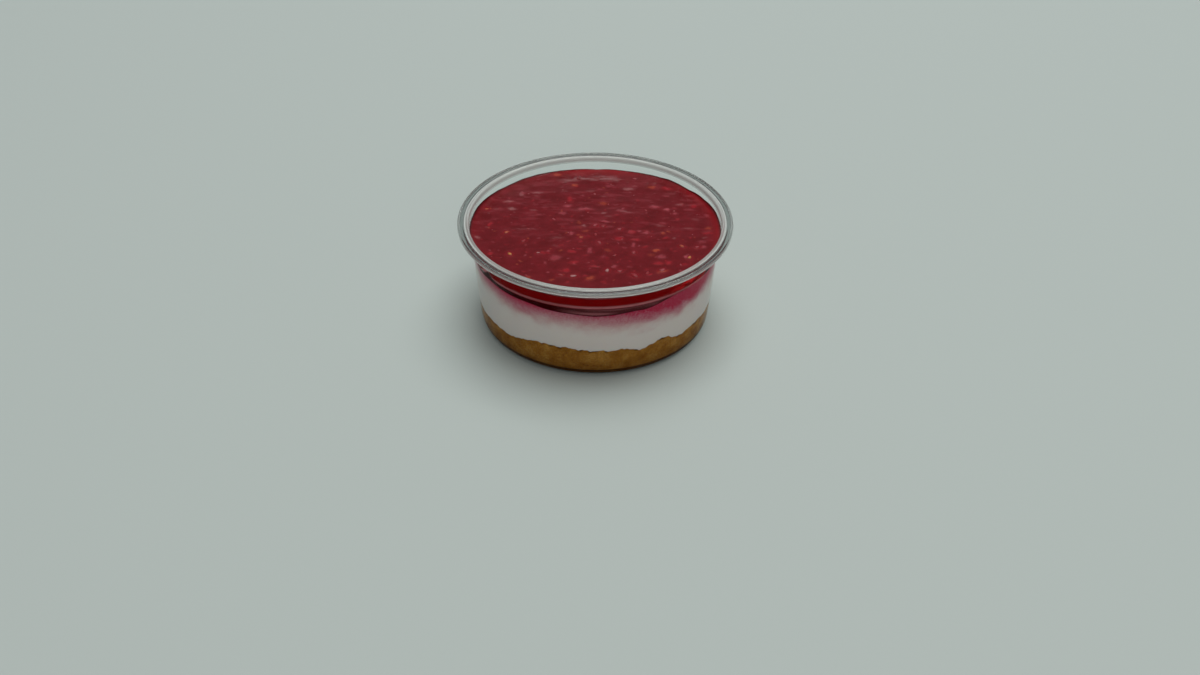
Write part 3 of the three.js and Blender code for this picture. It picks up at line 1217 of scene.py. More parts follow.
@dataclass(frozen=True)
class Stain:
    """How far the berries have stained the cream at the wall, and how strongly, by azimuth."""

    reach: tuple[tuple[float, float, float], ...] = (
        (-180, 7.0, 0.6), (-120, 6.0, 0.5), (-75, 7.5, 0.5), (-55, 9.2, 0.8), (-36, 10.6, 0.92),
        (-15, 10.4, 0.68), (2, 11.0, 0.72), (21, 11.8, 0.94), (43, 13.4, 1.7), (55, 12.8, 1.6),
        (68, 12.4, 0.95), (95, 6.0, 0.5), (140, 8.0, 0.7), (180, 7.0, 0.6),
    )
    contact_mm: float = 0.9
    contact_strength: float = 0.6
    contact_from: float = 0.45
    cloud_mm: float = 4.6
    cloud_squash: tuple[float, float, float] = (1.0, 1.0, 1.5)
    cloud_share: float = 0.2
    grain_mm: float = 0.9
    grain_share: float = 0.06
    fade: float = 1.3
    mottle: float = 0.12

    def at(self, azimuths: np.ndarray, below: np.ndarray, points: np.ndarray) -> np.ndarray:
        """The stain at points of the side.

        Args:
            azimuths: Their azimuths from -180 to 180.
            below: How far each lies under the jelly's lower edge.
            points: The points themselves.

        Returns:
            The stain's strength from 0 to 1.
        """
        places, reaches, strengths = np.array(self.reach).T
        reach = np.interp(azimuths, places, reaches)
        strength = np.interp(azimuths, places, strengths)
        flat = points.reshape(-1, 3)
        cloud = fractal(flat * self.cloud_squash, self.cloud_mm, 3, Pattern.STAIN_CLOUD)
        grain = fractal(flat, self.grain_mm, 2, Pattern.STAIN_GRAIN)
        cloud, grain = cloud.reshape(below.shape), grain.reshape(below.shape)
        share = below / reach + self.cloud_share * cloud + self.grain_share * grain
        fade = (1 - smoothstep(-0.1, 1.0, share)) ** self.fade
        contact = self.contact_strength * np.exp(-np.maximum(below, 0) / self.contact_mm)
        stain = strength * fade * (1 + self.mottle * (grain + cloud))
        stain += contact * np.maximum(strength - self.contact_from, 0)
        return np.clip(stain, 0, 1)


@dataclass
class CreamFilling(FoodLayer):
    """The cream cheese filling between the crumb and the jelly."""

    finish: CreamCheese = field(default_factory=CreamCheese)
    stain: Stain = field(default_factory=Stain)

    def build(self) -> bpy.types.Object:
        """Makes the filling and dresses it.

        Returns:
            The piece.
        """
        low = CRUMB_LINE.at(self.azimuths, self.form.heel_radius) - self.overlap
        high = CREAM_LINE.at(self.azimuths, self.form.wall_top_radius) + self.overlap
        radii, heights = self.side(low, high)
        inward = np.array(self.inward)
        r = np.concatenate([radii[:, :1] * inward[::-1], radii, radii[:, -1:] * inward], axis=1)
        z = np.concatenate([low + 0 * inward, heights, high + 0 * inward], axis=1)
        z[:, :2] = low.mean()
        z[:, -2:] = high.mean()
        points = around(self.azimuths + 0 * r, r, z)
        azimuths = (self.azimuths + 180) % 360 - 180 + 0 * z
        stain = self.stain.at(azimuths, high - self.overlap - z, points)
        filling = turned_mesh("cream_body", points)
        mark_turned(filling, "stain", stain)
        self.finish.dress(filling)
        return settle(filling, Node.CREAM)


@dataclass(frozen=True)
class Seed:
    """One seed or bit of pulp: its place and turn in the topping, its size and its tone."""

    x: float
    y: float
    size: float
    turn: float
    tone: SeedTone


@dataclass(frozen=True)
class SeedField:
    """All the seeds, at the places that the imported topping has."""

    random_seed: int = 5197
    key_seeds: tuple[Seed, ...] = (
        Seed(-30.5, -17.5, 1.2, -50, SeedTone.STRAW),
        Seed(-5, -5.5, 1, 20, SeedTone.ORANGE),
        Seed(-32.5, -2.5, 1.1, 35, SeedTone.ORANGE),
        Seed(-26, -8.5, 1, 60, SeedTone.RED),
        Seed(-41, 14, 1, 10, SeedTone.ORANGE),
        Seed(-20.5, -16.5, 0.7, 0, SeedTone.PALE),
        Seed(-7.5, -31.5, 1.2, 5, SeedTone.PALE),
        Seed(-12, -31, 1, -20, SeedTone.RED),
        Seed(4.5, -27.5, 1.1, 80, SeedTone.PALE),
        Seed(9, -28, 1, 15, SeedTone.PINK),
        Seed(14, -30.5, 1.6, -45, SeedTone.RED),
        Seed(1.5, -9, 1, -60, SeedTone.PINK),
        Seed(0, 3, 0.9, 40, SeedTone.PINK),
        Seed(3, 2.5, 1, 50, SeedTone.RED),
        Seed(9, 0.5, 1, 25, SeedTone.PINK),
        Seed(31.5, -11, 1.1, -50, SeedTone.ORANGE),
        Seed(34, -18.5, 1, 80, SeedTone.STRAW),
        Seed(37, -11.5, 0.8, 10, SeedTone.PINK),
        Seed(24, -27, 1.2, 20, SeedTone.PINK),
        Seed(14, -15.5, 1, 70, SeedTone.PINK),
    )
    spacing: float = 5.0
    spiral_count: int = 46
    field_radius: float = 42.5
    nudge: float = 8.0
    size_spread: float = 0.3

    def others(self) -> list[Seed]:
        """A spiral of dull red seeds that keeps clear of the key ones.

        Returns:
            The seeds in their order along the spiral.
        """
        draw = random_stream(self.random_seed)
        tones = [SeedTone.RED, SeedTone.RED, SeedTone.PINK, SeedTone.RED, SeedTone.RED]
        seeds = []
        for i in range(self.spiral_count):
            radius = self.field_radius * math.sqrt((i + next(draw)) / self.spiral_count)
            azimuth = math.radians(i * GOLDEN_ANGLE + self.nudge * next(draw))
            size = 1 + self.size_spread * (2 * next(draw) - 1)
            turn = 360 * next(draw)
            x, y = radius * math.sin(azimuth), -radius * math.cos(azimuth)
            if all(math.hypot(x - k.x, y - k.y) > self.spacing for k in self.key_seeds):
                seeds.append(Seed(x, y, size, turn, tones[i % len(tones)]))
        return seeds

    def all(self) -> list[Seed]:
        """The key seeds, then the others."""
        return [*self.key_seeds, *self.others()]


@dataclass(frozen=True)
class Bit:
    """One bit of pulp just under the face: its place, half sizes, turn, tone and strength."""

    x: float
    y: float
    half_length: float
    half_width: float
    turn: float
    tone: BitTone
    strength: float = 1.0


# The bits that catch the eye: x, y, half length, half width, turn and, unless it is 1, strength.
KEY_BITS: dict[BitTone, tuple[tuple[float, ...], ...]] = {
    BitTone.RED: (
        (-37.7, -17.1, 1.2, 1.0, 20), (-8.3, -15.1, 1.6, 1.5, 0), (-7.4, -22.5, 2.1, 1.3, 35),
        (-9.8, -27.6, 1.5, 1.6, 0), (0.3, -25.1, 2.3, 0.7, -8), (19.4, -29.9, 1.0, 0.8, 0),
        (22.7, -22.8, 1.8, 1.2, 15), (26.2, -22.3, 1.3, 1.5, 0), (13.4, -1.2, 1.8, 1.4, 25),
        (9.0, -6.2, 2.0, 1.4, 10), (14.6, -6.5, 2.3, 1.0, -5), (41.2, -1.6, 2.2, 1.1, 5, 0.9),
        (-38.8, 3.2, 1.0, 1.7, -15), (-9.9, 22.2, 1.3, 2.2, 15), (37.0, 17.9, 1.6, 1.2, 60),
        (27.4, 31.0, 2.4, 1.2, -25),
    ),
    BitTone.ORANGE: (
        (-1.6, -32.8, 1.9, 1.3, 20, 0.9), (24.3, -27.4, 1.9, 0.8, 12), (22.2, -14.0, 1.7, 1.1, 10),
        (-8.5, 32.9, 1.4, 1.2, 0), (2.8, 19.3, 1.8, 1.5, 0, 0.6), (21.5, 31.9, 1.8, 1.2, 0, 0.8),
        (-15.2, 41.0, 1.6, 1.2, 0),
    ),
    BitTone.PINK: (
        (-13.9, -19.4, 2.4, 1.8, 10, 0.6), (23.9, -18.2, 1.7, 1.5, 0, 0.7),
        (13.8, -10.4, 0.8, 1.6, 0, 0.7), (-1.8, -14.0, 1.1, 2.2, -5, 0.7),
        (-8.8, -2.6, 1.1, 1.6, -20, 0.8), (3.6, 6.0, 2.6, 0.6, -18, 0.8),
        (18.5, -1.6, 1.6, 1.1, 15, 0.8), (32.6, -18.0, 1.0, 1.1, 0),
        (4.9, 32.6, 1.5, 1.3, 10, 0.5), (-10.8, 17.0, 1.9, 1.3, 10, 0.8),
        (-4.0, 15.0, 3.6, 1.1, 0, 0.9), (-12.3, 11.8, 1.8, 1.2, -12, 0.7),
        (22.2, 17.1, 2.4, 1.4, 0, 0.8), (26.9, 15.1, 1.3, 1.2, 0),
    ),
    # Pale bits: mostly painted highlights on low relief.
    BitTone.PALE: (
        (-4.1, 2.9, 1.1, 0.9, 0, 0.9), (-43.2, -6.2, 0.9, 1.4, 40, 0.8),
        (-13.8, -6.1, 2.8, 0.9, 4, 0.3), (-28.6, 25.5, 0.9, 1.6, 30, 0.9),
        (-22.2, 26.7, 2.4, 0.8, -5, 0.9), (-32.8, 19.9, 2.0, 0.8, 2), (-31.4, 14.5, 1.6, 0.8, -10),
        (-36.9, 14.3, 2.6, 0.8, 0, 0.3), (12.6, 30.6, 2.3, 1.1, 3),
        (11.4, 13.3, 2.8, 0.8, -18, 0.6), (3.3, 12.1, 1.2, 0.7, 0, 0.8),
        (31.7, 18.9, 1.8, 0.9, 10, 0.6), (24.0, 3.5, 2.2, 0.9, -15, 0.4),
        (-25.5, 0.0, 5.0, 0.9, 0, 0.25),
    ),
}


@dataclass(frozen=True)
class Pulp:
    """All the bits of pulp: the ones that catch the eye, then more by a seeded draw."""

    count: int = 380
    seed: int = 83
    field_radius: float = 44.0
    nudge: float = 20.0
    longest: float = 1.5
    shortest: float = 0.4
    outline_mm: float = 1.2
    outline_shift_mm: float = 0.6
    core: float = 1.7
    core_share: float = 0.6
    halo: float = 1.3
    front_edge: tuple[float, float] = (-0.4, 0.9)
    # Share of the bits behind that are pale painted highlights.
    pale_share: float = 0.35
    behind_stretch: float = 1.5
    behind_flatness: tuple[float, float] = (0.3, 0.6)
    behind_turn: tuple[float, float] = (-22, 22)
    behind_strength: tuple[float, float] = (0.1, 0.45)
    front_tones: tuple[BitTone, ...] = (*3 * (BitTone.RED,), BitTone.ORANGE, BitTone.PINK)
    front_flatness: tuple[float, float] = (0.5, 0.95)
    front_turn: tuple[float, float] = (0, 180)
    front_strength: tuple[float, float] = (0.15, 0.8)

    @staticmethod
    def key_bits() -> list[Bit]:
        """The bits that catch the eye."""
        return [Bit(*row[:5], tone, *row[5:]) for tone, rows in KEY_BITS.items() for row in rows]

    def strewn(self) -> list[Bit]:
        """Small faint bits all over, rounder and redder in front, flatter and paler behind, where
        they are painted highlight streaks.

        Returns:
            The bits in their order along a spiral.
        """
        draw = np.random.default_rng(self.seed)
        bits = []
        for i in range(self.count):
            radius = self.field_radius * math.sqrt((i + draw.random()) / self.count)
            azimuth = math.radians(i * GOLDEN_ANGLE + self.nudge * draw.random())
            x, y = radius * math.sin(azimuth), -radius * math.cos(azimuth)
            length = self.shortest + (self.longest - self.shortest) * draw.random() ** 2
            if y / self.field_radius > draw.uniform(*self.front_edge):
                tone = BitTone.PALE if draw.random() < self.pale_share else BitTone.PINK
                length *= self.behind_stretch
                ranges = (self.behind_flatness, self.behind_turn, self.behind_strength)
            else:
                tone = draw.choice(self.front_tones)
                ranges = (self.front_flatness, self.front_turn, self.front_strength)
            flatness, turn, strength = (draw.uniform(*bounds) for bounds in ranges)
            bits.append(Bit(x, y, length, length * flatness, turn, tone, strength))
        return bits

    def over(self, plan: np.ndarray) -> dict[BitTone, np.ndarray]:
        """How strongly each tone shows at points of the plan.

        Args:
            plan: Points of the face, one row each, in millimetres.

        Returns:
            For each tone, a value from 0 to 1 for each point.
        """
        shift = self.outline_shift_mm
        x = plan[:, 0] + shift * fractal(plan, self.outline_mm, 2, Pattern.BIT_SHIFT_X)
        y = plan[:, 1] + shift * fractal(plan, self.outline_mm, 2, Pattern.BIT_SHIFT_Y)
        shown = {tone: np.zeros(len(plan)) for tone in BitTone}
        for bit in (*self.key_bits(), *self.strewn()):
            reach = 2 * max(bit.half_length, bit.half_width)
            near = np.flatnonzero((np.abs(x - bit.x) < reach) & (np.abs(y - bit.y) < reach))
            turn = math.radians(bit.turn)
            dx, dy = x[near] - bit.x, y[near] - bit.y
            u = (dx * math.cos(turn) + dy * math.sin(turn)) / bit.half_length
            v = (dy * math.cos(turn) - dx * math.sin(turn)) / bit.half_width
            away = u * u + v * v
            core = self.core_share * np.exp(-((self.core * away) ** 2))
            halo = (1 - self.core_share) * np.exp(-(away**self.halo))
            bell = bit.strength * (core + halo)
            shown[bit.tone][near] = np.maximum(shown[bit.tone][near], bell)
        return shown


@dataclass(frozen=True)
class BackRidge:
    """The low broken ridge that the spoon left along the back of the face, with a painted pale
    highlight along it.
    """

    rise: float = 0.55
    middle: tuple[float, float] = (2.0, 38.2)
    bend: float = 0.007
    waver: float = 0.7
    waver_mm: float = 4.0
    width: float = 1.3
    span: tuple[float, float, float, float] = (-16.0, -11.0, 6.0, 12.0)
    breaks_mm: float = 1.6
    breaks_squash: tuple[float, float, float] = (0.5, 1.6, 1.0)
    standing: float = 0.5
    brokenness: float = 1.1
    # How strongly the crest is painted with a pale highlight.
    glow: float = 0.8

    def at(self, plan: np.ndarray) -> np.ndarray:
        """How high the ridge stands, as a share of its rise.

        Args:
            plan: Points of the face, one row each, in millimetres.

        Returns:
            A value from 0 to 1 for each point.
        """
        x, y = plan[:, 0], plan[:, 1]
        waver = self.waver * fractal(plan, self.waver_mm, 3, Pattern.RIDGE)
        line = self.middle[1] - self.bend * (x - self.middle[0]) ** 2 + waver
        breaks = fractal(plan * self.breaks_squash, self.breaks_mm, 3, Pattern.RIDGE_BREAKS)
        broken = np.clip(self.standing + self.brokenness * breaks, 0, 1)
        return between(*self.span, x) * broken * np.exp(-(((y - line) / self.width) ** 2))


@dataclass(frozen=True)
class SheenStreaks:
    """Long faint pale streaks over the face, more of them behind: a painted sheen of glints off
    low relief.
    """

    sheen_streak_mm: float = 2.0
    stretch: float = 0.34
    bend: float = 1.6
    bend_mm: float = 9.0
    starting: tuple[float, float] = (-22.0, 12.0)
    contrast: tuple[float, float] = (0.0, 0.8)
    strength: float = 0.24

    def at(self, plan: np.ndarray) -> np.ndarray:
        """How strongly the painted sheen streaks show.

        Args:
            plan: Points of the face, one row each, in millimetres.

        Returns:
            A value from 0 to 1 for each point.
        """
        bend = fractal(plan, self.bend_mm, 2, Pattern.WISP_BEND)
        bent = plan + np.outer(bend, (0, self.bend, 0))
        sheen_streaks = fractal(bent * (self.stretch, 1, 1), self.sheen_streak_mm, 3, Pattern.WISPS)
        shown = smoothstep(*self.starting, plan[:, 1]) * smoothstep(*self.contrast, sheen_streaks)
        return self.strength * shown


@dataclass(frozen=True)
class FaceBorder:
    """The face's thin red border, wider behind, with its painted glow, and the painted shade line
    where it meets the wall.
    """

    shade_line_width: float = 0.58
    shade_line_strength: float = 0.85
    reach: float = 2.4
    reach_behind: float = 1.6
    strength: float = 0.15
    strength_at_right: float = 0.45
    strength_behind: float = 0.5
    right: tuple[float, float, float, float] = (40.0, 95.0, 120.0, 150.0)
    behind: tuple[float, float] = (8.0, 26.0)

    def thin(self, azimuths: np.ndarray, from_wall: np.ndarray) -> np.ndarray:
        """How strongly the thin film at the wall shows brighter red, a painted glow strongest on
        the right and behind.

        Args:
            azimuths: Azimuths from -180 to 180, as a column.
            from_wall: How far each point lies from the wall.

        Returns:
            A value for each point, 0 for none.
        """
        right = between(*self.right, azimuths)
        behind = 1 - smoothstep(*self.behind, 180 - np.abs(azimuths))
        strength = self.strength + self.strength_at_right * right + self.strength_behind * behind
        reach = self.reach + self.reach_behind * behind
        return strength * np.exp(-((from_wall / reach) ** 2))

    def line(self, from_wall: np.ndarray) -> np.ndarray:
        """How dark the painted shade line at the wall is, from 0 to 1, by the distance from the
        wall.
        """
        return self.shade_line_strength * np.exp(-((from_wall / self.shade_line_width) ** 2))


@dataclass(frozen=True)
class WallMarks:
    """What shows of the topping through the wall: painted shade, smeared cream, a painted
    highlight along the ledge and up the lugs' flanks, and pressed pulp.
    """

    grain_mm: float = 2.5
    grain_squash: tuple[float, float, float] = (1.0, 1.0, 2.0)
    streak_mm: float = 2.0
    streak_squash: tuple[float, float, float] = (0.15, 0.15, 3.2)
    ledge_shown: tuple[float, float, float, float] = (-72.0, -66.0, 70.0, 76.0)
    ledge_line: tuple[float, float, float, float] = (0.0, 0.5, 1.5, 2.3)
    # The painted highlight along the ledge: its strength all over, in front, on a lug's flanks and
    # by grain.
    smear_and_highlight: float = 0.5
    ledge_highlight_in_front: float = 0.3
    highlight_on_flanks: float = 0.35
    ledge_highlight_grain: float = 0.2
    front: tuple[float, float, float, float] = (-20.0, 0.0, 26.0, 38.0)
    under_ledge: tuple[float, float] = (-0.6, -0.1)
    over_cream: tuple[float, float] = (0.1, 0.6)
    veil: float = 0.1
    streak: float = 0.45
    streak_contrast: tuple[float, float] = (-0.4, 0.3)
    shade_edge: tuple[float, float] = (-0.3, 0.4)
    pressed_at: float = 47.0
    pressed_width: float = 10.0
    pressed_contrast: tuple[float, float] = (-0.15, 0.3)
    pressed_from: tuple[float, float] = (-0.5, 0.3)

    def over(
        self,
        form: CupForm,
        azimuths: np.ndarray,
        r: np.ndarray,
        z: np.ndarray,
        above_cream: np.ndarray,
    ) -> dict[str, np.ndarray]:
        """The marks at points of the topping.

        Args:
            form: The cup's measures.
            azimuths: Azimuths from -180 to 180, as a column.
            r: Every point's radius.
            z: Every point's height.
            above_cream: How far each point lies above the cream.

        Returns:
            By the name of its stored value, how strongly each mark shows at each point.
        """
        flat = around(azimuths + 0 * r, r, z).reshape(-1, 3)
        grain = fractal(flat * self.grain_squash, self.grain_mm, 3, Pattern.WALL_GRAIN)
        grain = grain.reshape(r.shape)
        streaks = fractal(flat * self.streak_squash, self.streak_mm, 2, Pattern.WALL_STREAKS)
        streaks = smoothstep(*self.streak_contrast, streaks.reshape(r.shape))
        lug = form.lug_share(azimuths)
        over = z - form.ledge - form.lug_rise * lug
        front = between(*self.front, azimuths)
        # Painted highlight along the ledge line and up the lugs' flanks.
        flanks = self.highlight_on_flanks * (4 * lug * (1 - lug))
        smear_and_highlight = self.smear_and_highlight + self.ledge_highlight_in_front * front + flanks + self.ledge_highlight_grain * grain
        smear_and_highlight = between(*self.ledge_shown, azimuths) * between(*self.ledge_line, over) * smear_and_highlight
        # Smeared cream in pale streaks under the ledge in front.
        under = 1 - smoothstep(*self.under_ledge, over)
        under = under * smoothstep(*self.over_cream, above_cream)
        smear_and_highlight += front * under * (self.veil + self.streak * streaks)
        pressed = np.exp(-(((azimuths - self.pressed_at) / self.pressed_width) ** 2))
        pressed = pressed * smoothstep(*self.pressed_contrast, grain)
        return {
            "smear_and_highlight": smear_and_highlight,
            "shade": 1 - smoothstep(*self.shade_edge, over),
            "pulp_at_wall": pressed * smoothstep(*self.pressed_from, over),
        }


@dataclass
class BerryTopping(FoodLayer):
    """The set berry topping: an uneven wet face over a smooth side."""

    segments: int = 520
    side_steps: int = 34
    into_wall: float = 0.13
    face_finish: BerryJelly = field(default_factory=BerryJelly)
    side_finish: BerryJellyAtWall = field(default_factory=BerryJellyAtWall)
    seed_field: SeedField = field(default_factory=SeedField)
    level: float = 35.75
    wave: float = 0.12
    ripple: float = 0.025
    ripple_mm: float = 3.0
    rippled_from: tuple[float, float] = (-25.0, 15.0)
    meniscus_width: float = 1.2
    contact: tuple[tuple[float, float], ...] = (
        (-180, 35.6), (-165, 35.9), (-148, 36.4), (-135, 36.2), (-120, 36.8), (-105, 37.2),
        (-90, 36.8), (-60, 36.3), (0, 36.2), (60, 36.4), (90, 37.0), (105, 37.6), (118, 37.0),
        (130, 36.4), (143, 36.7), (155, 36.0), (165, 35.9), (180, 35.6),
    )
    contact_radius: float = 46.0
    contact_ripple: float = 0.2
    contact_ripple_mm: float = 5.0
    rings: int = 150
    crowding: float = 1.25
    seed_length: float = 1.15
    seed_width: float = 0.75
    seed_depth: float = 0.5
    key_standing: float = 0.08
    other_standing: float = -0.1
    skirt: float = 0.1
    seed_glow: float = 0.6
    bell_length: float = 1.4
    bell_width: float = 1.6
    pulp: Pulp = Pulp()
    ridge: BackRidge = BackRidge()
    sheen_streaks: SheenStreaks = SheenStreaks()
    border: FaceBorder = FaceBorder()
    wall_marks: WallMarks = WallMarks()
    bit_rise: dict[BitTone, float] = field(default_factory=lambda: {
        BitTone.RED: 0.08, BitTone.ORANGE: 0.08, BitTone.PINK: 0.11, BitTone.PALE: 0.12,
    })

    def height_at(self, plan: np.ndarray) -> np.ndarray:
        """The face's height at points of the plan, without what climbs the wall.

        Args:
            plan: Points of the plan, one row each, in millimetres.

        Returns:
            A height for each point.
        """
        x, y = plan[:, 0], plan[:, 1]
        height = self.level + self.wave * unevenness(x, y)
        ripples = fractal(plan, self.ripple_mm, 2, Pattern.RIPPLES)
        height += self.ripple * (ripples * smoothstep(*self.rippled_from, y))
        height += self.ridge.rise * self.ridge.at(plan)
        for tone, shown in self.pulp.over(plan).items():
            height += self.bit_rise[tone] * shown
        for seed in self.seed_field.key_seeds:
            height += self.skirt * self.seed_bell(plan, seed)
        return height

    def bits_at(self, plan: np.ndarray) -> dict[BitTone, np.ndarray]:
        """How strongly each tone of pulp glows through the face, from 0 to 1, with the painted
        highlights and sheen streaks laid into the pale and pink tones.

        Args:
            plan: Points of the plan, one row each, in millimetres.

        Returns:
            For each tone, a value for each point.
        """
        shown = self.pulp.over(plan)
        # The ridge's painted highlight goes into the pale tone.
        ridge = np.maximum(shown[BitTone.PALE], self.ridge.glow * self.ridge.at(plan))
        shown[BitTone.PALE] = np.clip(ridge, 0, 1)
        # The painted sheen streaks go into the pink tone.
        shown[BitTone.PINK] = np.maximum(shown[BitTone.PINK], self.sheen_streaks.at(plan))
        for seed in self.seed_field.key_seeds:
            glow = self.seed_glow * self.seed_bell(plan, seed)
            shown[BitTone.RED] = np.maximum(shown[BitTone.RED], glow)
        return shown

    def seed_bell(self, plan: np.ndarray, seed: Seed) -> np.ndarray:
        """A bell round a seed, a little wider than the seed.

        Args:
            plan: Points of the plan, one row each, in millimetres.
            seed: The seed.

        Returns:
            A value from 0 to 1 for each point.
        """
        turn = math.radians(seed.turn)
        dx, dy = plan[:, 0] - seed.x, plan[:, 1] - seed.y
        along = dx * math.cos(turn) + dy * math.sin(turn)
        across = dy * math.cos(turn) - dx * math.sin(turn)
        u = along / (self.bell_length * seed.size * self.seed_length)
        v = across / (self.bell_width * seed.size * self.seed_width)
        return np.exp(-np.minimum(u * u + v * v, 40))

    def build(self) -> bpy.types.Object:
        """Makes the topping's body and dresses it.

        Returns:
            The piece.
        """
        form = self.form
        azimuths = self.azimuths
        signed = (azimuths + 180) % 360 - 180
        low = CREAM_LINE.at(azimuths, form.wall_top_radius)
        places, heights_there = np.array(self.contact).T
        at_radius = np.full(self.segments, self.contact_radius)
        on_wall = around(azimuths.ravel(), at_radius, np.zeros(self.segments))
        high = np.interp(signed, places, heights_there)
        ripple = fractal(on_wall, self.contact_ripple_mm, 3, Pattern.CONTACT)[:, None]
        high += self.contact_ripple * ripple
        radii, heights = self.side(low, high)
        inward = np.array(self.inward)
        share = 1 - np.linspace(0, 1, self.rings + 1)[1:] ** self.crowding
        face_r = radii[:, -1:] * share
        plan = around(azimuths + 0 * share, face_r, 0 * face_r).reshape(-1, 3)
        face = self.height_at(plan).reshape(face_r.shape)
        from_wall = radii[:, -1:] - face_r
        climb = np.exp(-from_wall / self.meniscus_width)
        face = face + (high - face) * climb
        r = np.concatenate([radii[:, :1] * inward[::-1], radii, face_r], axis=1)
        z = np.concatenate([low + 0 * inward, heights, face], axis=1)
        z[:, :2] = low.mean()
        topping = turned_mesh("jelly_body", around(azimuths + 0 * r, r, z))
        on_face = np.zeros_like(r)
        on_face[:, -self.rings - 1 :] = 1
        self.mark_face(topping, on_face, self.bits_at(plan), signed, radii[:, -1:] - r)
        for name, values in self.wall_marks.over(form, signed, r, z, z - low).items():
            mark_turned(topping, name, np.clip((1 - on_face) * values, 0, 1))
        self.face_finish.dress(topping)
        self.side_finish.dress(topping)
        share_finishes(topping, 1 - np.concatenate([on_face[:, 1:-1].ravel(), [0, 1]]))
        return settle(topping, Node.JELLY)

    def mark_face(
        self,
        topping: bpy.types.Object,
        on_face: np.ndarray,
        bits: dict[BitTone, np.ndarray],
        azimuths: np.ndarray,
        from_wall: np.ndarray,
    ) -> None:
        """Stores the face's pulp, its thin red border with its painted glow and its painted shade
        line at the wall.

        Args:
            topping: The topping's body.
            on_face: 1 for the points of the face, 0 for the side's.
            bits: How strongly each tone of pulp shows at the face's points.
            azimuths: Azimuths from -180 to 180, as a column.
            from_wall: How far each point lies from the wall.
        """
        for tone, shown in bits.items():
            values = np.zeros_like(on_face)
            values[:, -self.rings :] = shown.reshape(len(on_face), -1)
            mark_turned(topping, tone.value, values)
        # The thin film's painted glow.
        thin = on_face * self.border.thin(azimuths, from_wall)
        mark_turned(topping, "thin", np.clip(thin, 0, 1))
        # The painted shade line at the wall.
        mark_turned(topping, "edge", on_face * self.border.line(from_wall))


@dataclass
class BerrySeeds:
    """The seeds themselves, each a pointed oval half sunk in the topping."""

    topping: BerryTopping
    finish: SeedHull = field(default_factory=SeedHull)
    round_steps: int = 18
    long_steps: int = 12
    taper: float = 0.28
    bluntness: float = 0.9
    point: float = 1.08
    unevenness: float = 0.22
    sunk_share: float = 0.7
    film_strength: float = 0.95

    def hull(self) -> tuple[np.ndarray, list[tuple[int, ...]]]:
        """One seed of half length 1, pointed at one end, with its faces.

        Returns:
            The points, one row each, and the point numbers of each face.
        """
        rows = []
        for i in range(1, self.long_steps):
            t = math.pi * i / self.long_steps
            along, girth = -math.cos(t), math.sin(t) ** self.bluntness
            taper = 1 - self.taper * along
            for j in range(self.round_steps):
                turn = 2 * math.pi * j / self.round_steps
                rows.append((along, girth * taper * math.cos(turn), girth * math.sin(turn)))
        rows += [(-1, 0, 0), (self.point, 0, 0)]
        n, last = self.round_steps, len(rows) - 1
        faces: list[tuple[int, ...]] = []
        for i in range(self.long_steps - 2):
            for j in range(n):
                k = (j + 1) % n
                faces.append((i * n + j, (i + 1) * n + j, (i + 1) * n + k, i * n + k))
        tail = (self.long_steps - 2) * n
        for j in range(n):
            k = (j + 1) % n
            faces.append((last - 1, j, k))
            faces.append((last, tail + k, tail + j))
        return np.array(rows), faces

    def build(self) -> bpy.types.Object:
        """Makes every seed in one mesh and dresses it.

        Returns:
            The piece.
        """
        top = self.topping
        hull, faces = self.hull()
        vertices, all_faces, tones, films = [], [], [], []
        for seed in top.seed_field.all():
            size = np.array([top.seed_length, top.seed_width, top.seed_depth]) * seed.size
            turn = math.radians(seed.turn)
            lumps = fractal((hull + seed.x) * size, top.seed_width, 2, Pattern.SEED_LUMPS)
            x, y, z = (hull * size * (1 + self.unevenness * lumps[:, None])).T
            along = x * math.cos(turn) - y * math.sin(turn)
            across = x * math.sin(turn) + y * math.cos(turn)
            height = top.height_at(np.array([[seed.x, seed.y, 0.0]]))[0]
            standing = top.key_standing if seed in top.seed_field.key_seeds else top.other_standing
            sunk = height + standing - top.seed_depth * seed.size * self.sunk_share
            start = len(vertices) * len(hull)
            vertices.append(np.stack([along + seed.x, across + seed.y, z + sunk], axis=1))
            all_faces += [tuple(start + i for i in face) for face in faces]
            tones.append(np.full(len(hull), seed.tone.value))
            showing = (z + sunk - height) / (standing + 0.3 * top.seed_depth * seed.size)
            films.append(self.film_strength * (1 - smoothstep(0.1, 0.9, showing)))
        mesh = bpy.data.meshes.new("jelly_seeds")
        mesh.from_pydata((np.concatenate(vertices) * METRES).tolist(), [], all_faces)
        mesh.shade_smooth()
        piece = bpy.data.objects.new("jelly_seeds", mesh)
        bpy.context.scene.collection.objects.link(piece)
        mark(piece, "tone", np.concatenate(tones))
        mark(piece, "film", np.concatenate(films))
        self.finish.dress(piece)
        return settle(piece, None)


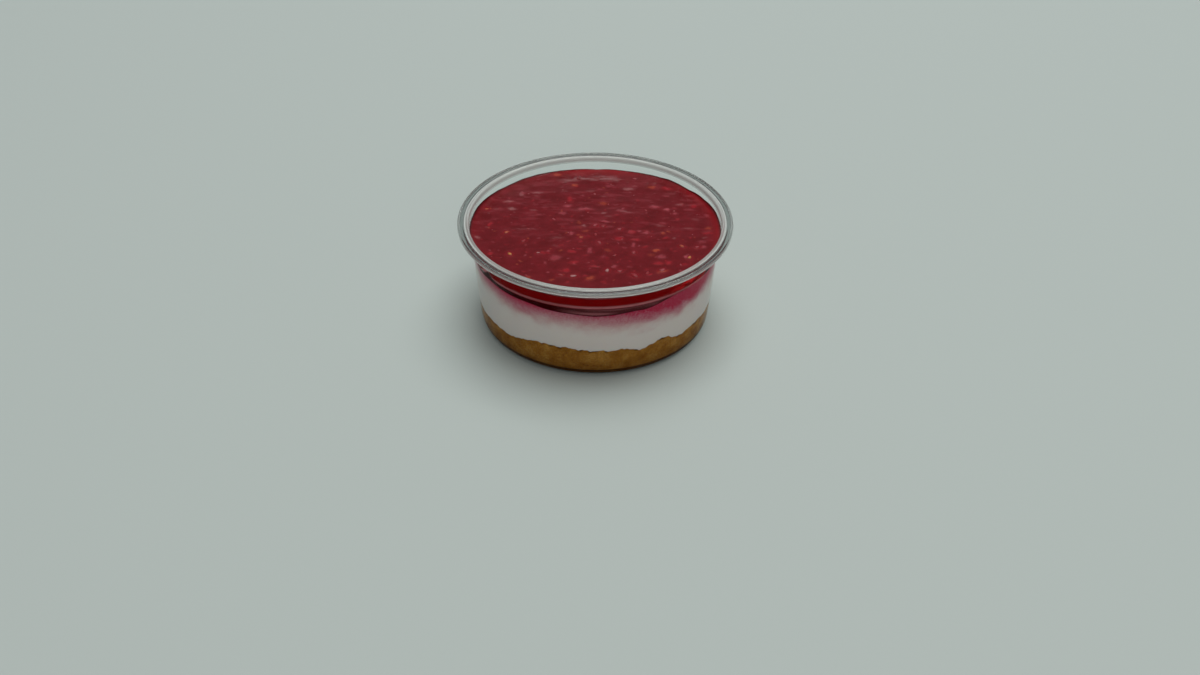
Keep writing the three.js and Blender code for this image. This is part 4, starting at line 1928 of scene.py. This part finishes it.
@dataclass(frozen=True)
class Softbox:
    """A soft studio lamp: its place in metres, size, power in watts and what it points at."""

    name: str
    place: tuple[float, float, float]
    size: tuple[float, float]
    power: float
    tint: str = "FFFFFF"
    target: tuple[float, float, float] = (0.0, 0.0, 0.02)

    def build(self) -> bpy.types.Object:
        """Makes the lamp.

        Returns:
            The lamp.
        """
        lamp = bpy.data.lights.new(self.name, "AREA")
        lamp.shape = "RECTANGLE"
        lamp.size, lamp.size_y = self.size
        lamp.energy = self.power
        lamp.color = linear(self.tint)[:3]
        light = bpy.data.objects.new(self.name, lamp)
        bpy.context.scene.collection.objects.link(light)
        way = np.array(self.target) - np.array(self.place)
        pitch = math.atan2(math.hypot(way[0], way[1]), -way[2])
        heading = math.atan2(way[0], way[1])
        light.rotation_euler = Euler((pitch, 0, -heading))
        light.location = self.place
        light.visible_camera = False
        return light


@dataclass
class Studio:
    """The pale floor, the soft light and the camera at the picture's angle."""

    floor: PaleFloor = field(default_factory=PaleFloor)
    floor_radius: float = 6.0
    sky: str = "F4F8FF"
    sky_strength: float = 0.12
    focal_px: float = 1479.0
    camera_place_mm: tuple[float, float, float] = (2.17, -467.2, 319.0)
    camera_pitch: float = 54.61
    camera_roll: float = 0.6
    lamps: tuple[Softbox, ...] = (
        Softbox("overhead_softbox", (0.25, 0.45, 2.2), (2.0, 2.0), 37.0, "FFFDF8"),
        Softbox("back_card", (0.0, 0.9, 0.28), (1.8, 0.5), 0.55, "F6FAFF", (0.0, 0.0, 0.28)),
        Softbox("back_window", (0.0, 0.95, 0.95), (1.1, 0.3), 0.35, "FFFFFF"),
        Softbox("front_fill", (0.25, -1.6, 1.1), (1.2, 1.0), 6.0, "FFF8F0"),
    )

    def build(self) -> None:
        """Makes the floor, the lamps, the sky and the camera."""
        rim = [
            (self.floor_radius * math.cos(t), self.floor_radius * math.sin(t), 0.0)
            for t in np.linspace(0, 2 * math.pi, 65)[:-1]
        ]
        mesh = bpy.data.meshes.new("studio_floor")
        mesh.from_pydata(rim, [], [tuple(range(len(rim)))])
        floor = bpy.data.objects.new("studio_floor", mesh)
        bpy.context.scene.collection.objects.link(floor)
        self.floor.dress(floor)
        for lamp in self.lamps:
            lamp.build()
        self.hang_sky()
        self.place_camera()
        bpy.context.scene.view_settings.view_transform = "Standard"

    def hang_sky(self) -> None:
        """Lights the scene evenly from all round."""
        world = bpy.data.worlds.new("soft_sky")
        world.use_nodes = True
        tree = world.node_tree
        tree.nodes.clear()
        glow = add_node(
            tree,
            "ShaderNodeBackground",
            {"Color": linear(self.sky), "Strength": self.sky_strength},
        )
        add_node(tree, "ShaderNodeOutputWorld", links={"Surface": glow.outputs[0]})
        bpy.context.scene.world = world

    def place_camera(self) -> None:
        """Sets the camera where the picture was taken."""
        lens = bpy.data.cameras.new("picture_camera")
        lens.sensor_width = SENSOR_WIDTH_MM
        lens.lens = self.focal_px / IMAGE_WIDTH_PX * SENSOR_WIDTH_MM
        lens.clip_start = 0.01
        camera = bpy.data.objects.new("picture_camera", lens)
        bpy.context.scene.collection.objects.link(camera)
        tilt = Matrix.Rotation(math.radians(self.camera_pitch), 4, "X")
        roll = Matrix.Rotation(math.radians(self.camera_roll), 4, "Z")
        place = Matrix.Translation([c * METRES for c in self.camera_place_mm])
        camera.matrix_world = place @ tilt @ roll
        bpy.context.scene.camera = camera


def main() -> None:
    """Builds the studio and the pieces in order and reports each."""
    logging.basicConfig(level=logging.INFO, format="%(name)s: %(message)s")
    low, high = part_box(Node.CUP.value)
    form = CupForm(height=high.z / METRES, rim_radius=(high.x - low.x) / 2 / METRES)
    Studio().build()
    LOG.info("studio ready")
    topping = BerryTopping(form)
    layers = (BiscuitBase(form), CreamFilling(form), topping)
    for builder in (ClearCup(form), *layers, BerrySeeds(topping)):
        piece = builder.build()
        LOG.info("%s has %d vertices", piece.name, len(piece.data.vertices))


if __name__ == "__main__":
    main()
